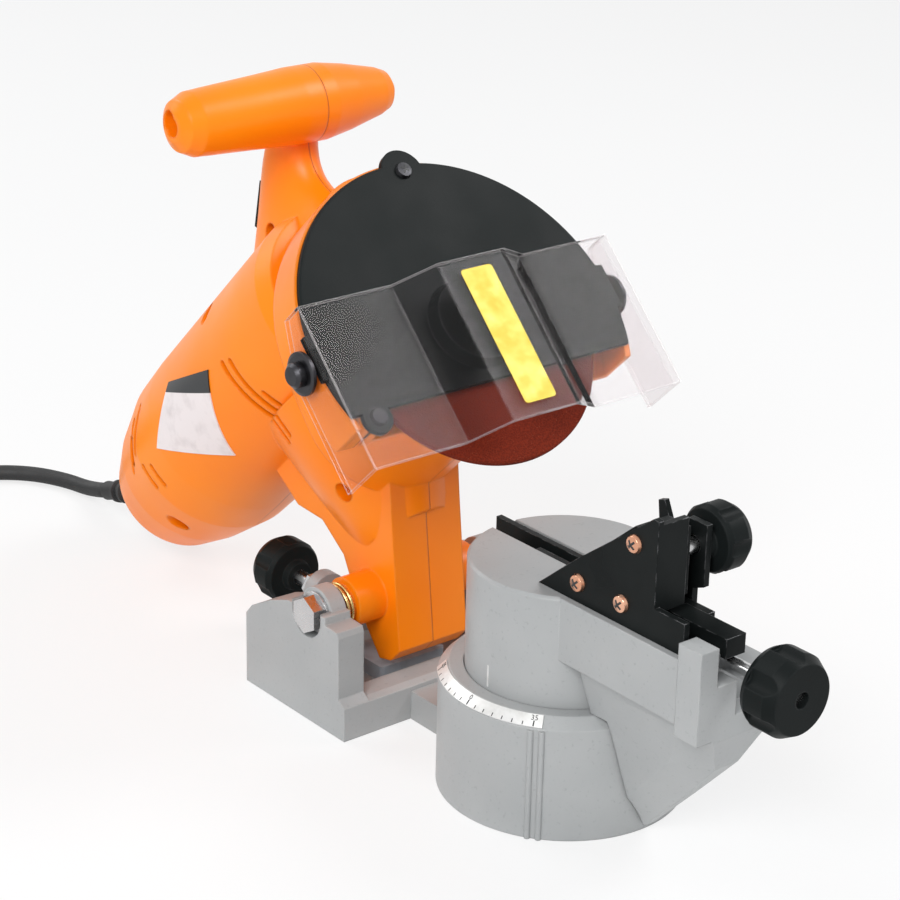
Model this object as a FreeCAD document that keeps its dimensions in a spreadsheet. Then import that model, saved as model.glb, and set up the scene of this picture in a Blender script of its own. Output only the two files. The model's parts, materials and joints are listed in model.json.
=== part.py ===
import FreeCAD, Part
import math
import os
from types import SimpleNamespace
import Sketcher

# Electric chainsaw sharpener: a tilting grinder head on a bench bracket, and a turning chain vise.
# Millimetres. +X runs along the tilt axis, +Y to the back, -Y to the operator, +Z up from the bench.
# The origin is on the bench under the tilt axis, in the middle plane of the head.

document = FreeCAD.newDocument("ChainsawSharpener")
cells = document.addObject("Spreadsheet::Sheet", "Sizes")

# Driving dimensions
DIMENSIONS = {
    "pivot_height": 44.33, "rest_tilt": 44.66, "pivot_bolt_radius": 4.0, "running_gap": 0.05,
    "body_gap": 0.3, "boss_radius": 10.0, "boss_tip_radius": 7.0,
    "ear_outer": 48.2, "ear_inner": 36.0, "ear_boss_radius": 9.7, "bolt_recess_radius": 9.0,
    "bolt_recess_depth": 5.2, "bracket_front": 24.5, "bracket_rear": 40.0, "floor_thickness": 8.0,
    "bar_height": 15.0, "bar_depth": 12.0, "bench_hole_radius": 4.25, "bench_hole_spacing": 52.0,
    "bench_hole_row": 25.0, "rear_wall_height": 40.0, "rear_wall_thickness": 6.0,
    "pad_length": 23.0, "pad_width": 32.0, "pad_height": 6.3,
    "table_offset": 94.1, "ring_radius": 46.35, "ring_height": 48.0, "recess_radius": 37.0,
    "recess_floor": 30.0, "ring_bevel": 4.0, "ring_wall": 5.0, "web_thickness": 6.0,
    "neck_half_width": 16.0, "neck_height": 12.0, "scale_thickness": 0.6, "rib_radius": 1.1,
    "drum_top": 91.0, "drum_wall": 5.0, "table_bolt_radius": 5.0, "table_boss_radius": 13.0,
    "arm_half_width": 26.5, "arm_wall": 5.0, "arm_bottom": 67.0, "channel_floor": 80.0,
    "arm_far_side": 16.0, "arm_back": 119.0, "end_wall_back": 176.0, "end_wall_front": 182.0,
    "post_height": 97.5,
    "post_front": 190.0, "post_width": 8.0, "keel_gap": 1.4,
    "rail_thickness": 2.5, "rail_bottom": 82.0, "chain_gap": 5.2, "near_rail_back": 83.0,
    "far_rail_back": 52.0, "rail_front": 156.0, "near_rail_face": 4.0, "bracket_thickness": 2.4,
    "stop_screw_radius": 1.5, "stop_head_radius": 3.4,
    "clamp_row": 155.0, "clamp_height": 117.0, "clamp_stud_radius": 3.0, "clamp_knob_radius": 12.5,
    "clamp_knob_length": 15.0, "jaw_travel_gap": 1.5,
    "slider_width": 9.0, "slider_top": 97.5, "slider_back": 158.0, "slider_front": 172.0,
    "adjust_side": 8.0, "adjust_height": 86.6, "adjust_screw_radius": 3.0, "adjust_knob_radius": 15.0,
    "adjust_knob_back": 199.0, "adjust_knob_length": 19.0,
    "depth_side": 12.0, "depth_height": 30.0, "depth_screw_radius": 3.0, "depth_tip": 8.6,
    "depth_knob_back": 54.0, "depth_knob_length": 17.0, "depth_knob_radius": 13.25,
    "motor_axis": 102.5, "barrel_radius": 40.0, "housing_wall": 3.2, "tail_end": 139.0,
    "spindle_axis": 58.3, "gear_radius": 34.0, "gear_top_radius": 32.0, "gear_back": 34.0,
    "gear_front": 88.0, "gear_wall": 3.0, "leg_half_width": 16.7,
    "handle_radius": 15.0, "handle_end_radius": 11.8, "handle_tip_radius": 8.0,
    "handle_left": 62.0, "handle_right": 41.0,
    "handle_reach": 78.0, "handle_level": 173.5,
    "wheel_diameter": 108.0, "wheel_thickness": 3.2, "wheel_bore": 22.2, "wheel_station": 102.9,
    "guard_radius": 69.0, "guard_back": 105.9, "guard_thickness": 2.4, "guard_chord": 36.0,
    "guard_dome_radius": 18.0, "guard_dome_height": 8.0, "shroud_radius": 70.0, "shroud_wall": 2.4,
    "shroud_chord": 31.5, "tab_radius": 9.0, "tab_reach": 65.5, "guard_screw_radius": 2.0,
    "visor_half_width": 72.4, "visor_fold": 31.0, "visor_nose": 15.5, "visor_front": 115.8,
    "visor_nose_front": 126.0, "visor_back": 94.5, "visor_sheet": 2.0, "visor_low": 13.3,
    "visor_high": 77.8, "visor_pivot_reach": 102.0, "visor_bolt_radius": 2.5,
    "spindle_radius": 5.0, "spindle_bearing_radius": 13.0, "bearing_width": 8.0,
    "rotor_shaft_radius": 4.0, "rotor_bearing_radius": 11.0, "spindle_pulley_radius": 19.0,
    "motor_pulley_radius": 7.0, "pulley_back": 63.0, "pulley_width": 10.0, "belt_thickness": 1.5,
    "armature_radius": 20.0, "air_gap": 0.6, "stator_radius": 36.0, "stack_back": 66.0,
    "stack_front": 16.0, "commutator_radius": 11.0, "brush_station": 84.0, "fan_radius": 32.0,
    "cord_radius": 3.5, "cord_rest": 3.6, "coil_outer": 50.0, "coil_step": 8.6,
    "coil_turns": 3.0,
}


class Size:
    """A length that remembers the cell formula it was worked out from."""

    def __init__(self, value, formula):
        self.value = float(value)
        self.formula = formula

    def __float__(self):
        return self.value

    def joined(self, other, sign, value, swapped=False):
        left, right = (other, self) if swapped else (self, other)
        return Size(value, "(" + formula_of(left) + " " + sign + " " + formula_of(right) + ")")

    def __add__(self, other):
        return self.joined(other, "+", self.value + float(other))

    def __radd__(self, other):
        return self.joined(other, "+", float(other) + self.value, True)

    def __sub__(self, other):
        return self.joined(other, "-", self.value - float(other))

    def __rsub__(self, other):
        return self.joined(other, "-", float(other) - self.value, True)

    def __mul__(self, other):
        return self.joined(other, "*", self.value * float(other))

    def __rmul__(self, other):
        return self.joined(other, "*", float(other) * self.value, True)

    def __truediv__(self, other):
        return self.joined(other, "/", self.value / float(other))

    def __neg__(self):
        return Size(-self.value, "(0 - " + self.formula + ")")


def formula_of(value):
    return value.formula if isinstance(value, Size) else repr(float(value))


for row, (word, number) in enumerate(DIMENSIONS.items(), start=1):
    cells.set("A%d" % row, word)
    cells.set("B%d" % row, repr(number))
    cells.setAlias("B%d" % row, word)
document.recompute()
s = SimpleNamespace(**{word: Size(cells.get(word), "Sizes." + word) for word in DIMENSIONS})

X_AXIS = FreeCAD.Vector(1, 0, 0)
Y_AXIS = FreeCAD.Vector(0, 1, 0)
Z_AXIS = FreeCAD.Vector(0, 0, 1)
FORWARD = FreeCAD.Vector(0, -1, 0)
# Turns a flat outline so that its x runs along Y, its y along Z and its thickness along X
SIDE_VIEW = FreeCAD.Rotation(FreeCAD.Vector(1, 1, 1), 120)
HEAD = FreeCAD.Placement(FreeCAD.Vector(0, 0, float(s.pivot_height)),
                         FreeCAD.Rotation(X_AXIS, -float(s.rest_tilt)))
nodes = {}


# Building helpers
def vector(x, y, z):
    return FreeCAD.Vector(float(x), float(y), float(z))


def bind(feature, name, value):
    if isinstance(value, Size):
        feature.setExpression(name, value.formula)
    else:
        setattr(feature, name, value)


def along(start, direction):
    return FreeCAD.Placement(start, FreeCAD.Rotation(Z_AXIS, direction))


def node(label, feature, frame=None):
    """Names a finished sub-part and, for a piece of the head, tilts it into place."""
    feature.Label = label
    if frame is not None:
        feature.Placement = frame.multiply(feature.Placement)
    nodes[label] = feature
    return feature


def block(low, high):
    box = document.addObject("Part::Box", "Block")
    for side, first, last in zip(("Length", "Width", "Height"), low, high):
        bind(box, side, last - first)
    box.Placement = FreeCAD.Placement(vector(*low), FreeCAD.Rotation())
    return box


def rod(radius, start, length, direction=Z_AXIS):
    cylinder = document.addObject("Part::Cylinder", "Rod")
    bind(cylinder, "Radius", radius)
    bind(cylinder, "Height", length)
    cylinder.Placement = along(start, direction)
    return cylinder


def hexagon(across_flats, start, length, direction):
    prism = document.addObject("Part::Prism", "Hexagon")
    prism.Polygon = 6
    prism.Circumradius = across_flats / math.sqrt(3)
    bind(prism, "Height", length)
    prism.Placement = along(start, direction)
    return prism


def fused(*pieces):
    fusion = document.addObject("Part::MultiFuse", "Fused")
    fusion.Shapes = list(pieces)
    return fusion


def cut(base, *tools):
    result = document.addObject("Part::Cut", "Cut")
    result.Base = base
    result.Tool = tools[0] if len(tools) == 1 else fused(*tools)
    return result


def common(first, second):
    result = document.addObject("Part::Common", "Common")
    result.Base = first
    result.Tool = second
    return result


def group(*pieces):
    compound = document.addObject("Part::Compound", "Group")
    compound.Links = list(pieces)
    return compound


def formed(shape):
    feature = document.addObject("Part::Feature", "Formed")
    feature.Shape = shape
    return feature


def outline_sketch(body, role, outline):
    """A closed outline whose corners are each held from the origin by two bound distances."""
    sketch = body.newObject("Sketcher::SketchObject", "Outline")
    plane = next(item for item in body.Origin.OriginFeatures if item.Role == role)
    sketch.AttachmentSupport = [(plane, "")]
    sketch.MapMode = "FlatFace"
    count = len(outline)
    corners = [vector(across, up, 0) for across, up in outline]
    sketch.addGeometry([Part.LineSegment(corners[i], corners[(i + 1) % count]) for i in range(count)], False)
    sketch.addConstraint([Sketcher.Constraint("Coincident", i, 2, (i + 1) % count, 1) for i in range(count)])
    for index, corner in enumerate(outline):
        for kind, value in zip(("DistanceX", "DistanceY"), corner):
            place = sketch.addConstraint(Sketcher.Constraint(kind, -1, 1, index, 1, float(value)))
            if isinstance(value, Size):
                sketch.setExpression("Constraints[%d]" % place, value.formula)
    return sketch


def turned(profile, start=FreeCAD.Vector(), direction=Z_AXIS):
    """A piece turned about an axis: the profile holds (radius, distance along the axis)."""
    body = document.addObject("PartDesign::Body", "Turned")
    sketch = outline_sketch(body, "XZ_Plane", profile)
    turn = body.newObject("PartDesign::Revolution", "Turn")
    turn.Profile = sketch
    turn.ReferenceAxis = (sketch, ["V_Axis"])
    turn.Angle = 360
    body.Tip = turn
    body.Placement = along(start, direction)
    return body


def profiled(outline, thickness, start=FreeCAD.Vector(), rotation=FreeCAD.Rotation()):
    """A plate or bar of constant section."""
    body = document.addObject("PartDesign::Body", "Profiled")
    sketch = outline_sketch(body, "XY_Plane", outline)
    pad = body.newObject("PartDesign::Pad", "Pad")
    pad.Profile = sketch
    bind(pad, "Length", thickness)
    body.Tip = pad
    body.Placement = FreeCAD.Placement(start, rotation)
    return body


def rounded(base, radius, chosen):
    """Rounds the edges that the given test picks."""
    document.recompute()
    fillet = document.addObject("Part::Fillet", "Rounded")
    fillet.Base = base
    edges = enumerate(base.Shape.Edges, start=1)
    fillet.Edges = [(index, radius, radius) for index, edge in edges if chosen(edge)]
    return fillet


def runs_along(edge, axis):
    if edge.Curve.TypeId != "Part::GeomLine":
        return False
    return abs(edge.tangentAt(edge.FirstParameter).dot(axis)) > 0.999


def loft(sections, ruled=True):
    return formed(Part.makeLoft([Part.makePolygon(ring + ring[:1]) for ring in sections], True, ruled))


def belt_outline(low, low_radius, high, high_radius):
    """The tight band round two circles: points in a side-by-side frame, as a closed wire in XZ."""
    span = high.sub(low).Length
    lean = math.asin((low_radius - high_radius) / span)
    up = high.sub(low).normalize()
    side = up.cross(FORWARD).normalize()
    right = side * math.cos(lean) + up * math.sin(lean)
    left = side * -math.cos(lean) + up * math.sin(lean)
    low_right = low + right * low_radius
    low_left = low + left * low_radius
    high_right = high + right * high_radius
    high_left = high + left * high_radius
    edges = [Part.LineSegment(low_right, high_right).toShape(),
             Part.Arc(high_right, high + up * high_radius, high_left).toShape(),
             Part.LineSegment(high_left, low_left).toShape(),
             Part.Arc(low_left, low - up * low_radius, low_right).toShape()]
    return Part.Wire(edges)


def band(low_radius, high_radius, back, front):
    """A solid round the spindle axis and the motor axis, from one station to another."""
    low = vector(0, -float(back), s.spindle_axis)
    high = vector(0, -float(back), s.motor_axis)
    face = Part.Face(belt_outline(low, float(low_radius), high, float(high_radius)))
    return face.extrude(FORWARD * (float(front) - float(back)))


def knob(radius, length, bore, lobes, depth, start, direction):
    """A moulded grip knob: a turned body with a domed face, scalloped round its rim."""
    grip = turned([(bore, 0), (radius * 0.45, 0), (radius * 0.5, length * 0.16), (radius * 0.9, length * 0.2),
                   (radius, length * 0.34), (radius, length * 0.78), (radius * 0.84, length),
                   (bore, length)], start, direction)
    scallops = []
    spin = FreeCAD.Rotation(Z_AXIS, direction)
    for lobe in range(lobes):
        angle = 2 * math.pi * (lobe + 0.5) / lobes
        reach = float(radius) + depth * 1.6
        offset = spin.multVec(vector(reach * math.cos(angle), reach * math.sin(angle), float(length) * 0.3))
        scallops.append(rod(depth * 2.6, start + offset, length, direction))
    return cut(grip, *scallops)


def biarc(start, start_way, end, end_way):
    """Two arcs that meet smoothly and keep the directions of both ends."""
    chord = end - start
    both = start_way + end_way
    tight = 2 * (1 - start_way.dot(end_way))
    lean = chord.dot(both)
    if tight < 1e-9:
        return [Part.LineSegment(start, end).toShape()]
    reach = (math.sqrt(lean * lean + tight * chord.dot(chord)) - lean) / tight
    middle = (start + end + (start_way - end_way) * reach) * 0.5
    return [arc_from(start, start_way, middle), arc_to(middle, end, end_way)]


def arc_from(start, way, end):
    chord = end - start
    reach = chord.Length
    line = chord * (1 / reach)
    side = way - line * way.dot(line)
    half_turn = math.acos(max(-1, min(1, way.dot(line))))
    if half_turn < 1e-6:
        return Part.LineSegment(start, end).toShape()
    return Part.Arc(start, (start + end) * 0.5 + side.normalize() * (reach / 2 * math.tan(half_turn / 2)),
                    end).toShape()


def arc_to(start, end, way):
    arc = arc_from(end, way * -1, start)
    if arc.Curve.TypeId == "Part::GeomLine":
        return Part.LineSegment(start, end).toShape()
    middle = arc.valueAt((arc.FirstParameter + arc.LastParameter) / 2)
    return Part.Arc(start, middle, end).toShape()


def least_gap(point, turns):
    """The least distance between points of a winding that lie more than half a turn apart."""
    steps_a_turn = 48
    spots = [point(index / steps_a_turn) for index in range(int(turns * steps_a_turn) + 1)]
    half_turn = steps_a_turn // 2
    return min((spots[first] - spots[second]).Length
               for first in range(len(spots)) for second in range(first + half_turn, len(spots)))


def swept(edges, radius, start, way):
    """A round bar or cord along a path of lines and arcs."""
    section = Part.Wire([Part.Circle(start, way, radius).toShape()])
    return Part.Wire(edges).makePipeShell([section], True, False)


# Mains cord: the relief in the tail and the points of the free stretch on the bench
RELIEF_START = (0, 166.8, 24.5)
CORD_ROUTE = [(0, 219.2, 8.2), (0, 233, 3.6), (-3.5, 250, 3.6), (-13, 268, 3.6), (-30, 281, 3.6),
              (-55, 287, 3.6), (-82, 290, 3.6), (-108, 300, 3.6)]


def cord_way():
    return (vector(*CORD_ROUTE[0]) - vector(*RELIEF_START)).normalize()


# Bench bracket: two ears on a drilled floor, with a bar in front and a wall behind
def bench_bracket():
    ear_side = [(s.bracket_rear, 0), (s.bracket_rear, 30), (36, 34.6), (23.7, 41.5), (12.4, s.pivot_height + 1.5),
                (-11.6, s.pivot_height + 3), (-12, s.pivot_height), (-19.5, s.pivot_height - 0.3),
                (-20.4, s.pivot_height - 2.5), (-20.6, 16.5), (-s.bracket_front, 13.8), (-s.bracket_front, 0)]
    pieces = []
    for side in (-1, 1):
        inner = s.ear_inner if side > 0 else -s.ear_outer
        pieces.append(profiled(ear_side, s.ear_outer - s.ear_inner, vector(inner, 0, 0), SIDE_VIEW))
        pieces.append(rod(s.ear_boss_radius, vector(inner, 0, s.pivot_height),
                          s.ear_outer - s.ear_inner, X_AXIS))
    pieces.append(block((-s.ear_outer, -s.bracket_front, 0), (s.ear_outer, s.bracket_rear, s.floor_thickness)))
    bar = [(-s.bracket_front, 0), (-s.bracket_front, s.bar_height - 1.2), (-s.bracket_front + 3, s.bar_height),
           (-s.bracket_front + s.bar_depth, s.bar_height), (-s.bracket_front + s.bar_depth, 0)]
    pieces.append(profiled(bar, 2 * s.ear_outer, vector(-s.ear_outer, 0, 0), SIDE_VIEW))
    pieces.append(block((-s.ear_inner - 1, s.bracket_rear - s.rear_wall_thickness, 0),
                        (s.ear_inner + 1, s.bracket_rear, s.rear_wall_height * 0.75)))
    pieces.append(rod(s.depth_screw_radius + 5.5,
                      vector(-s.depth_side, s.bracket_rear - s.rear_wall_thickness, s.depth_height),
                      s.rear_wall_thickness, Y_AXIS))
    tools = [rod(s.pivot_bolt_radius, vector(-s.ear_outer - 1, 0, s.pivot_height), 2 * s.ear_outer + 2, X_AXIS),
             rod(s.depth_screw_radius + s.running_gap, vector(-s.depth_side, 0, s.depth_height), 60, Y_AXIS)]
    for side in (-1, 1):
        hole = vector(side * s.bench_hole_spacing / 2, s.bench_hole_row, -1)
        tools.append(rod(s.bench_hole_radius, hole, s.floor_thickness + 2))
        face = vector(side * s.ear_outer, 0, s.pivot_height)
        tools.append(rod(s.bolt_recess_radius, face, s.bolt_recess_depth, X_AXIS * -side))
        recess_half = float(s.bolt_recess_radius)
        depth = s.bolt_recess_depth
        low_x = s.ear_outer - depth if side > 0 else -s.ear_outer
        tools.append(block((low_x, -recess_half, s.pivot_height), (low_x + depth, recess_half, s.pivot_height + 20)))
    casting = cut(fused(*pieces), *tools)
    node("bench_bracket", casting)


def pivot_fasteners():
    floor = s.ear_outer - s.bolt_recess_depth
    washer = 1.2
    head = hexagon(13, vector(-floor - washer, 0, s.pivot_height), 5.3, X_AXIS * -1)
    shank = rod(s.pivot_bolt_radius, vector(-floor - washer, 0, s.pivot_height), 2 * floor + 11, X_AXIS)
    node("pivot_bolt", fused(head, shank))
    hollow = rod(s.pivot_bolt_radius, vector(0, 0, s.pivot_height), 60, X_AXIS)
    node("pivot_nut", cut(hexagon(13, vector(floor + washer, 0, s.pivot_height), 6.5, X_AXIS), hollow))
    washers = []
    for side in (-1, 1):
        start = vector(side * floor, 0, s.pivot_height)
        washers.append(turned([(s.pivot_bolt_radius, 0), (8.2, 0), (8.2, washer), (s.pivot_bolt_radius, washer)],
                              start, X_AXIS * side))
    node("pivot_washers", group(*washers))
    pad_back = -6.0
    pad = block((-s.pad_width / 2, pad_back, s.floor_thickness),
                (s.pad_width / 2, pad_back + s.pad_length, s.floor_thickness + s.pad_height))
    node("leg_pad", rounded(pad, 2.0, lambda edge: runs_along(edge, Z_AXIS)))


# Return spring: three turns round the left pivot boss, a leg on the bar and a hook on the head
def return_spring():
    wire = 0.75
    mean = float(s.boss_tip_radius) + wire + 0.4
    start_x = -float(s.ear_inner) + wire + 0.3
    turns = 2.0
    step = 2 * wire + 0.45
    quarter = 0.25

    def point(turn):
        angle = 2 * math.pi * turn
        return vector(start_x + step * turn, mean * math.cos(angle), s.pivot_height + mean * math.sin(angle))

    def way(turn):
        if turn == 0:
            return Z_AXIS
        angle = 2 * math.pi * turn
        pace = 2 * math.pi * mean
        return vector(step, -pace * math.sin(angle), pace * math.cos(angle)).normalize()

    edges = []
    for index in range(int(turns / quarter)):
        here = index * quarter
        there = here + quarter
        edges += biarc(point(here), way(here), point(there), way(there))
    leg = point(0) - way(0) * (float(s.pivot_height - s.floor_thickness) - 0.3)
    edges.insert(0, Part.LineSegment(leg, point(0)).toShape())
    node("return_spring", formed(swept(edges, wire, leg, way(0))))
    print("return spring least gap", round(least_gap(point, turns) - 2 * wire, 2), "radius", mean)


# Turntable base: a hollow ring with a bevelled rim, two ribs and a neck back to the bracket
def turntable_base():
    centre = vector(0, -s.table_offset, 0)
    under = s.recess_floor - s.web_thickness
    bolt_hole = s.table_bolt_radius + s.running_gap
    ring = turned([(bolt_hole, under), (s.ring_radius - s.ring_wall, under), (s.ring_radius - s.ring_wall, 0),
                   (s.ring_radius, 0), (s.ring_radius, s.ring_height - s.ring_bevel),
                   (s.ring_radius - s.ring_bevel, s.ring_height), (s.recess_radius, s.ring_height),
                   (s.recess_radius, s.recess_floor), (bolt_hole, s.recess_floor)], centre)
    neck = block((-s.neck_half_width, -s.table_offset + s.ring_radius - 4, 0),
                 (s.neck_half_width, -s.bracket_front, s.neck_height))
    ribs = []
    for angle in (214, 219, 321, 326):
        turn = math.radians(angle)
        spot = centre + vector(s.ring_radius * math.cos(turn), s.ring_radius * math.sin(turn), 0)
        ribs.append(rod(s.rib_radius, spot, s.ring_height - s.ring_bevel - 0.5))
    node("turntable_base", fused(ring, neck, *ribs))

    # Scale strip on the bevel, 39 degrees each way from its zero on the left
    rim = float(s.ring_radius)
    top = float(s.ring_height)
    bevel = float(s.ring_bevel)
    lift = float(s.scale_thickness)
    corners = [vector(rim - 0.3, 0, top - bevel + 0.3), vector(rim - bevel + 0.3, 0, top - 0.3),
               vector(rim - bevel + 0.3 + lift, 0, top - 0.3 + lift), vector(rim - 0.3 + lift, 0, top - bevel + 0.3 + lift)]
    half_sweep = 39
    strip = Part.Face(Part.makePolygon(corners + corners[:1]))
    strip.rotate(FreeCAD.Vector(), Z_AXIS, 180 - half_sweep)
    arc = strip.revolve(FreeCAD.Vector(), Z_AXIS, 2 * half_sweep)
    scale = formed(arc)
    scale.Placement = FreeCAD.Placement(centre, FreeCAD.Rotation())
    node("scale_plate", scale)


# Turning vise: a hollow drum, an arm with one side wall and a keel that sweeps down in front of the ring
def vise_body():
    centre = vector(0, -s.table_offset, 0)
    drum_radius = s.recess_radius - s.body_gap
    foot = s.recess_floor + s.body_gap
    under_top = s.channel_floor - 6
    drum = turned([(s.table_bolt_radius, foot), (s.table_boss_radius, foot), (s.table_boss_radius, under_top),
                   (drum_radius - s.drum_wall, under_top), (drum_radius - s.drum_wall, foot), (drum_radius, foot),
                   (drum_radius, s.drum_top - 1), (drum_radius - 1, s.drum_top), (0, s.drum_top),
                   (0, under_top + 2), (s.table_bolt_radius, under_top + 2)], centre)
    arm = block((-s.arm_half_width, -s.end_wall_front, s.arm_bottom), (s.arm_far_side, -s.arm_back, s.drum_top))
    post_side = -s.arm_half_width - 0.5
    post_back = -s.end_wall_front + 3
    post = block((post_side, -s.post_front, s.arm_bottom - 4), (post_side + s.post_width, post_back, s.post_height))
    chin = block((-s.arm_half_width, -s.post_front, s.arm_bottom - 4), (-9.5, post_back, 83))
    ring_side = -float(s.table_offset) - 36
    # Each keel section: height, reach to the left and right at the ring, tip distance, nose to the left and right
    stations = [(3, 8.5, 8.5, 143, 2, 2), (23.5, 13, 13, 162, 3, 3), (43.5, 18, 15, 180, 7, 4),
                (62, 24, float(s.arm_far_side), 190, 19, 8),
                (float(s.arm_bottom) + 3, float(s.arm_half_width), float(s.arm_far_side), 190, 26, 12)]
    sections = [[vector(-left, ring_side, height), vector(right, ring_side, height),
                 vector(max(right * 0.86, right_nose), -(tip - 14), height), vector(right_nose, -tip, height),
                 vector(-left_nose, -tip, height), vector(-max(left * 0.86, left_nose), -(tip - 14), height)]
                for height, left, right, tip, left_nose, right_nose in stations]
    keel = cut(loft(sections), rod(s.ring_radius + s.keel_gap, centre, s.ring_height + s.body_gap))
    channel = block((-s.arm_half_width + s.arm_wall, -s.end_wall_back, s.channel_floor),
                    (30, -s.arm_back, s.drum_top + 1))
    far_end = block((-3, -s.post_front, s.channel_floor), (30, -s.end_wall_back + 1, s.drum_top + 1))
    groove_left = s.near_rail_face + s.rail_thickness
    groove_right = s.chain_gap - s.near_rail_face + s.rail_thickness + s.jaw_travel_gap
    groove = block((-groove_left, -s.arm_back - 1, s.channel_floor),
                   (groove_right, -s.table_offset + 50, s.drum_top + 1))
    screw_hole = rod(s.adjust_screw_radius + s.running_gap,
                     vector(-s.adjust_side, -s.end_wall_front - 20, s.adjust_height), 30, Y_AXIS)
    solid = cut(fused(drum, arm, keel, post, chin), channel, far_end, groove, screw_hole)
    node("vise_body", solid)

    bolt_foot = float(s.recess_floor) - float(s.web_thickness) - float(s.body_gap)
    washer = 1.5
    node("table_bolt", rod(s.table_bolt_radius, centre + vector(0, 0, bolt_foot - 10),
                           s.channel_floor - 4.2 - bolt_foot + 10))
    hollow = rod(s.table_bolt_radius, centre, 40)
    collar = rod(15, centre + vector(0, 0, bolt_foot - washer), washer)
    nut = hexagon(16, centre + vector(0, 0, bolt_foot - washer - 8), 8.0, Z_AXIS)
    node("table_nut", cut(fused(collar, nut), hollow))


# Chain clamp: a stop bracket and jaw block on the arm, a fixed rail and a sliding far jaw
def chain_clamp():
    inner_side = s.arm_half_width - s.arm_wall
    left = -inner_side
    plate = [(-105, s.drum_top), (-178, s.drum_top), (-178, 103), (-163.5, 103), (-163.5, 134.5), (-161, 135),
             (-123.5, 106.5)]
    side = profiled(plate, s.bracket_thickness, vector(left - s.bracket_thickness, 0, 0), SIDE_VIEW)
    fold = block((left - s.bracket_thickness, -163.5, 101), (-10, -163.5 + s.bracket_thickness, 133))
    screw_spots = [(-152.6, 123.0), (-125.6, 98.5), (-147.6, 99.0)]
    drilled = [rod(s.stop_screw_radius, vector(left - 5, y, z), 10, X_AXIS) for y, z in screw_spots]
    node("stop_bracket", cut(fused(side, fold), *drilled))

    face = s.near_rail_face + s.rail_thickness
    spacer = [(-s.arm_back - 1, s.channel_floor), (-s.rail_front, s.channel_floor), (-s.rail_front, 101),
              (-161.1, 103), (-161.1, 128), (-150, 128), (-116, 99), (-112, s.drum_top), (-s.arm_back - 1, s.drum_top)]
    block_body = profiled(spacer, inner_side - face, vector(left, 0, 0), SIDE_VIEW)
    length = 12.0
    holes = [rod(s.stop_screw_radius, vector(left, y, z), length, X_AXIS) for y, z in screw_spots]
    stud_hole = rod(s.clamp_stud_radius, vector(left + 4, -s.clamp_row, s.clamp_height), 40, X_AXIS)
    pin_spot = vector(-12, -147, 117.5)
    pin_radius = 1.5
    pin_hole = rod(pin_radius, pin_spot, 12, X_AXIS)
    node("jaw_block", cut(block_body, stud_hole, pin_hole, *holes))
    node("pawl_pin", rod(pin_radius, pin_spot, 12.7, X_AXIS))

    screws = []
    for y, z in screw_spots:
        spot = vector(left - s.bracket_thickness, y, z)
        head = turned([(0, 0), (s.stop_head_radius, 0), (s.stop_head_radius * 0.85, 1.4), (0, 2.3)], spot, X_AXIS * -1)
        shank = rod(s.stop_screw_radius, spot, length + s.bracket_thickness, X_AXIS)
        screws.append(fused(head, shank))
    node("bracket_screws", group(*screws))

    node("near_rail", block((-face, -s.rail_front, s.rail_bottom),
                            (-s.near_rail_face, -s.near_rail_back, s.drum_top)))
    jaw_face = s.chain_gap - s.near_rail_face
    jaw = [(-s.far_rail_back, s.rail_bottom), (-s.rail_front, s.rail_bottom), (-s.rail_front, 101), (-161.1, 103),
           (-161.1, 126), (-152, 126), (-124, 101), (-120, s.drum_top), (-s.far_rail_back, s.drum_top)]
    far_plate = profiled(jaw, s.rail_thickness, vector(jaw_face, 0, 0), SIDE_VIEW)
    clearance_hole = rod(s.clamp_stud_radius + s.body_gap, vector(-5, -s.clamp_row, s.clamp_height), 20, X_AXIS)
    node("far_jaw", cut(far_plate, clearance_hole))
    knob_back = jaw_face + s.rail_thickness + 0.2
    node("clamp_stud", rod(s.clamp_stud_radius, vector(left + 4, -s.clamp_row, s.clamp_height),
                           inner_side - 4 + knob_back + s.clamp_knob_length - 2, X_AXIS))
    node("clamp_knob", knob(s.clamp_knob_radius, s.clamp_knob_length, s.clamp_stud_radius + s.running_gap, 6, 1.5,
                            vector(knob_back, -s.clamp_row, s.clamp_height), X_AXIS))

    # Pawl: a flat flip-over finger on its pin, resting just over the stop slider
    pivot = vector(0, pin_spot.y, pin_spot.z)
    finger = [(-150, 119), (-150.5, 115.5), (-147, 113.4), (-124, 98.4), (-120.5, 99.2), (-122.5, 103), (-143, 117.5),
              (-141.5, 130), (-144.5, 131)]
    pawl = profiled(finger, 2.0, vector(-3.2, 0, 0), SIDE_VIEW)
    eye = rod(4.2, pivot + vector(-3.2, 0, 0), 2.0, X_AXIS)
    node("pawl", cut(fused(pawl, eye), rod(pin_radius + s.running_gap, pivot + vector(-6, 0, 0), 8, X_AXIS)))


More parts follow.
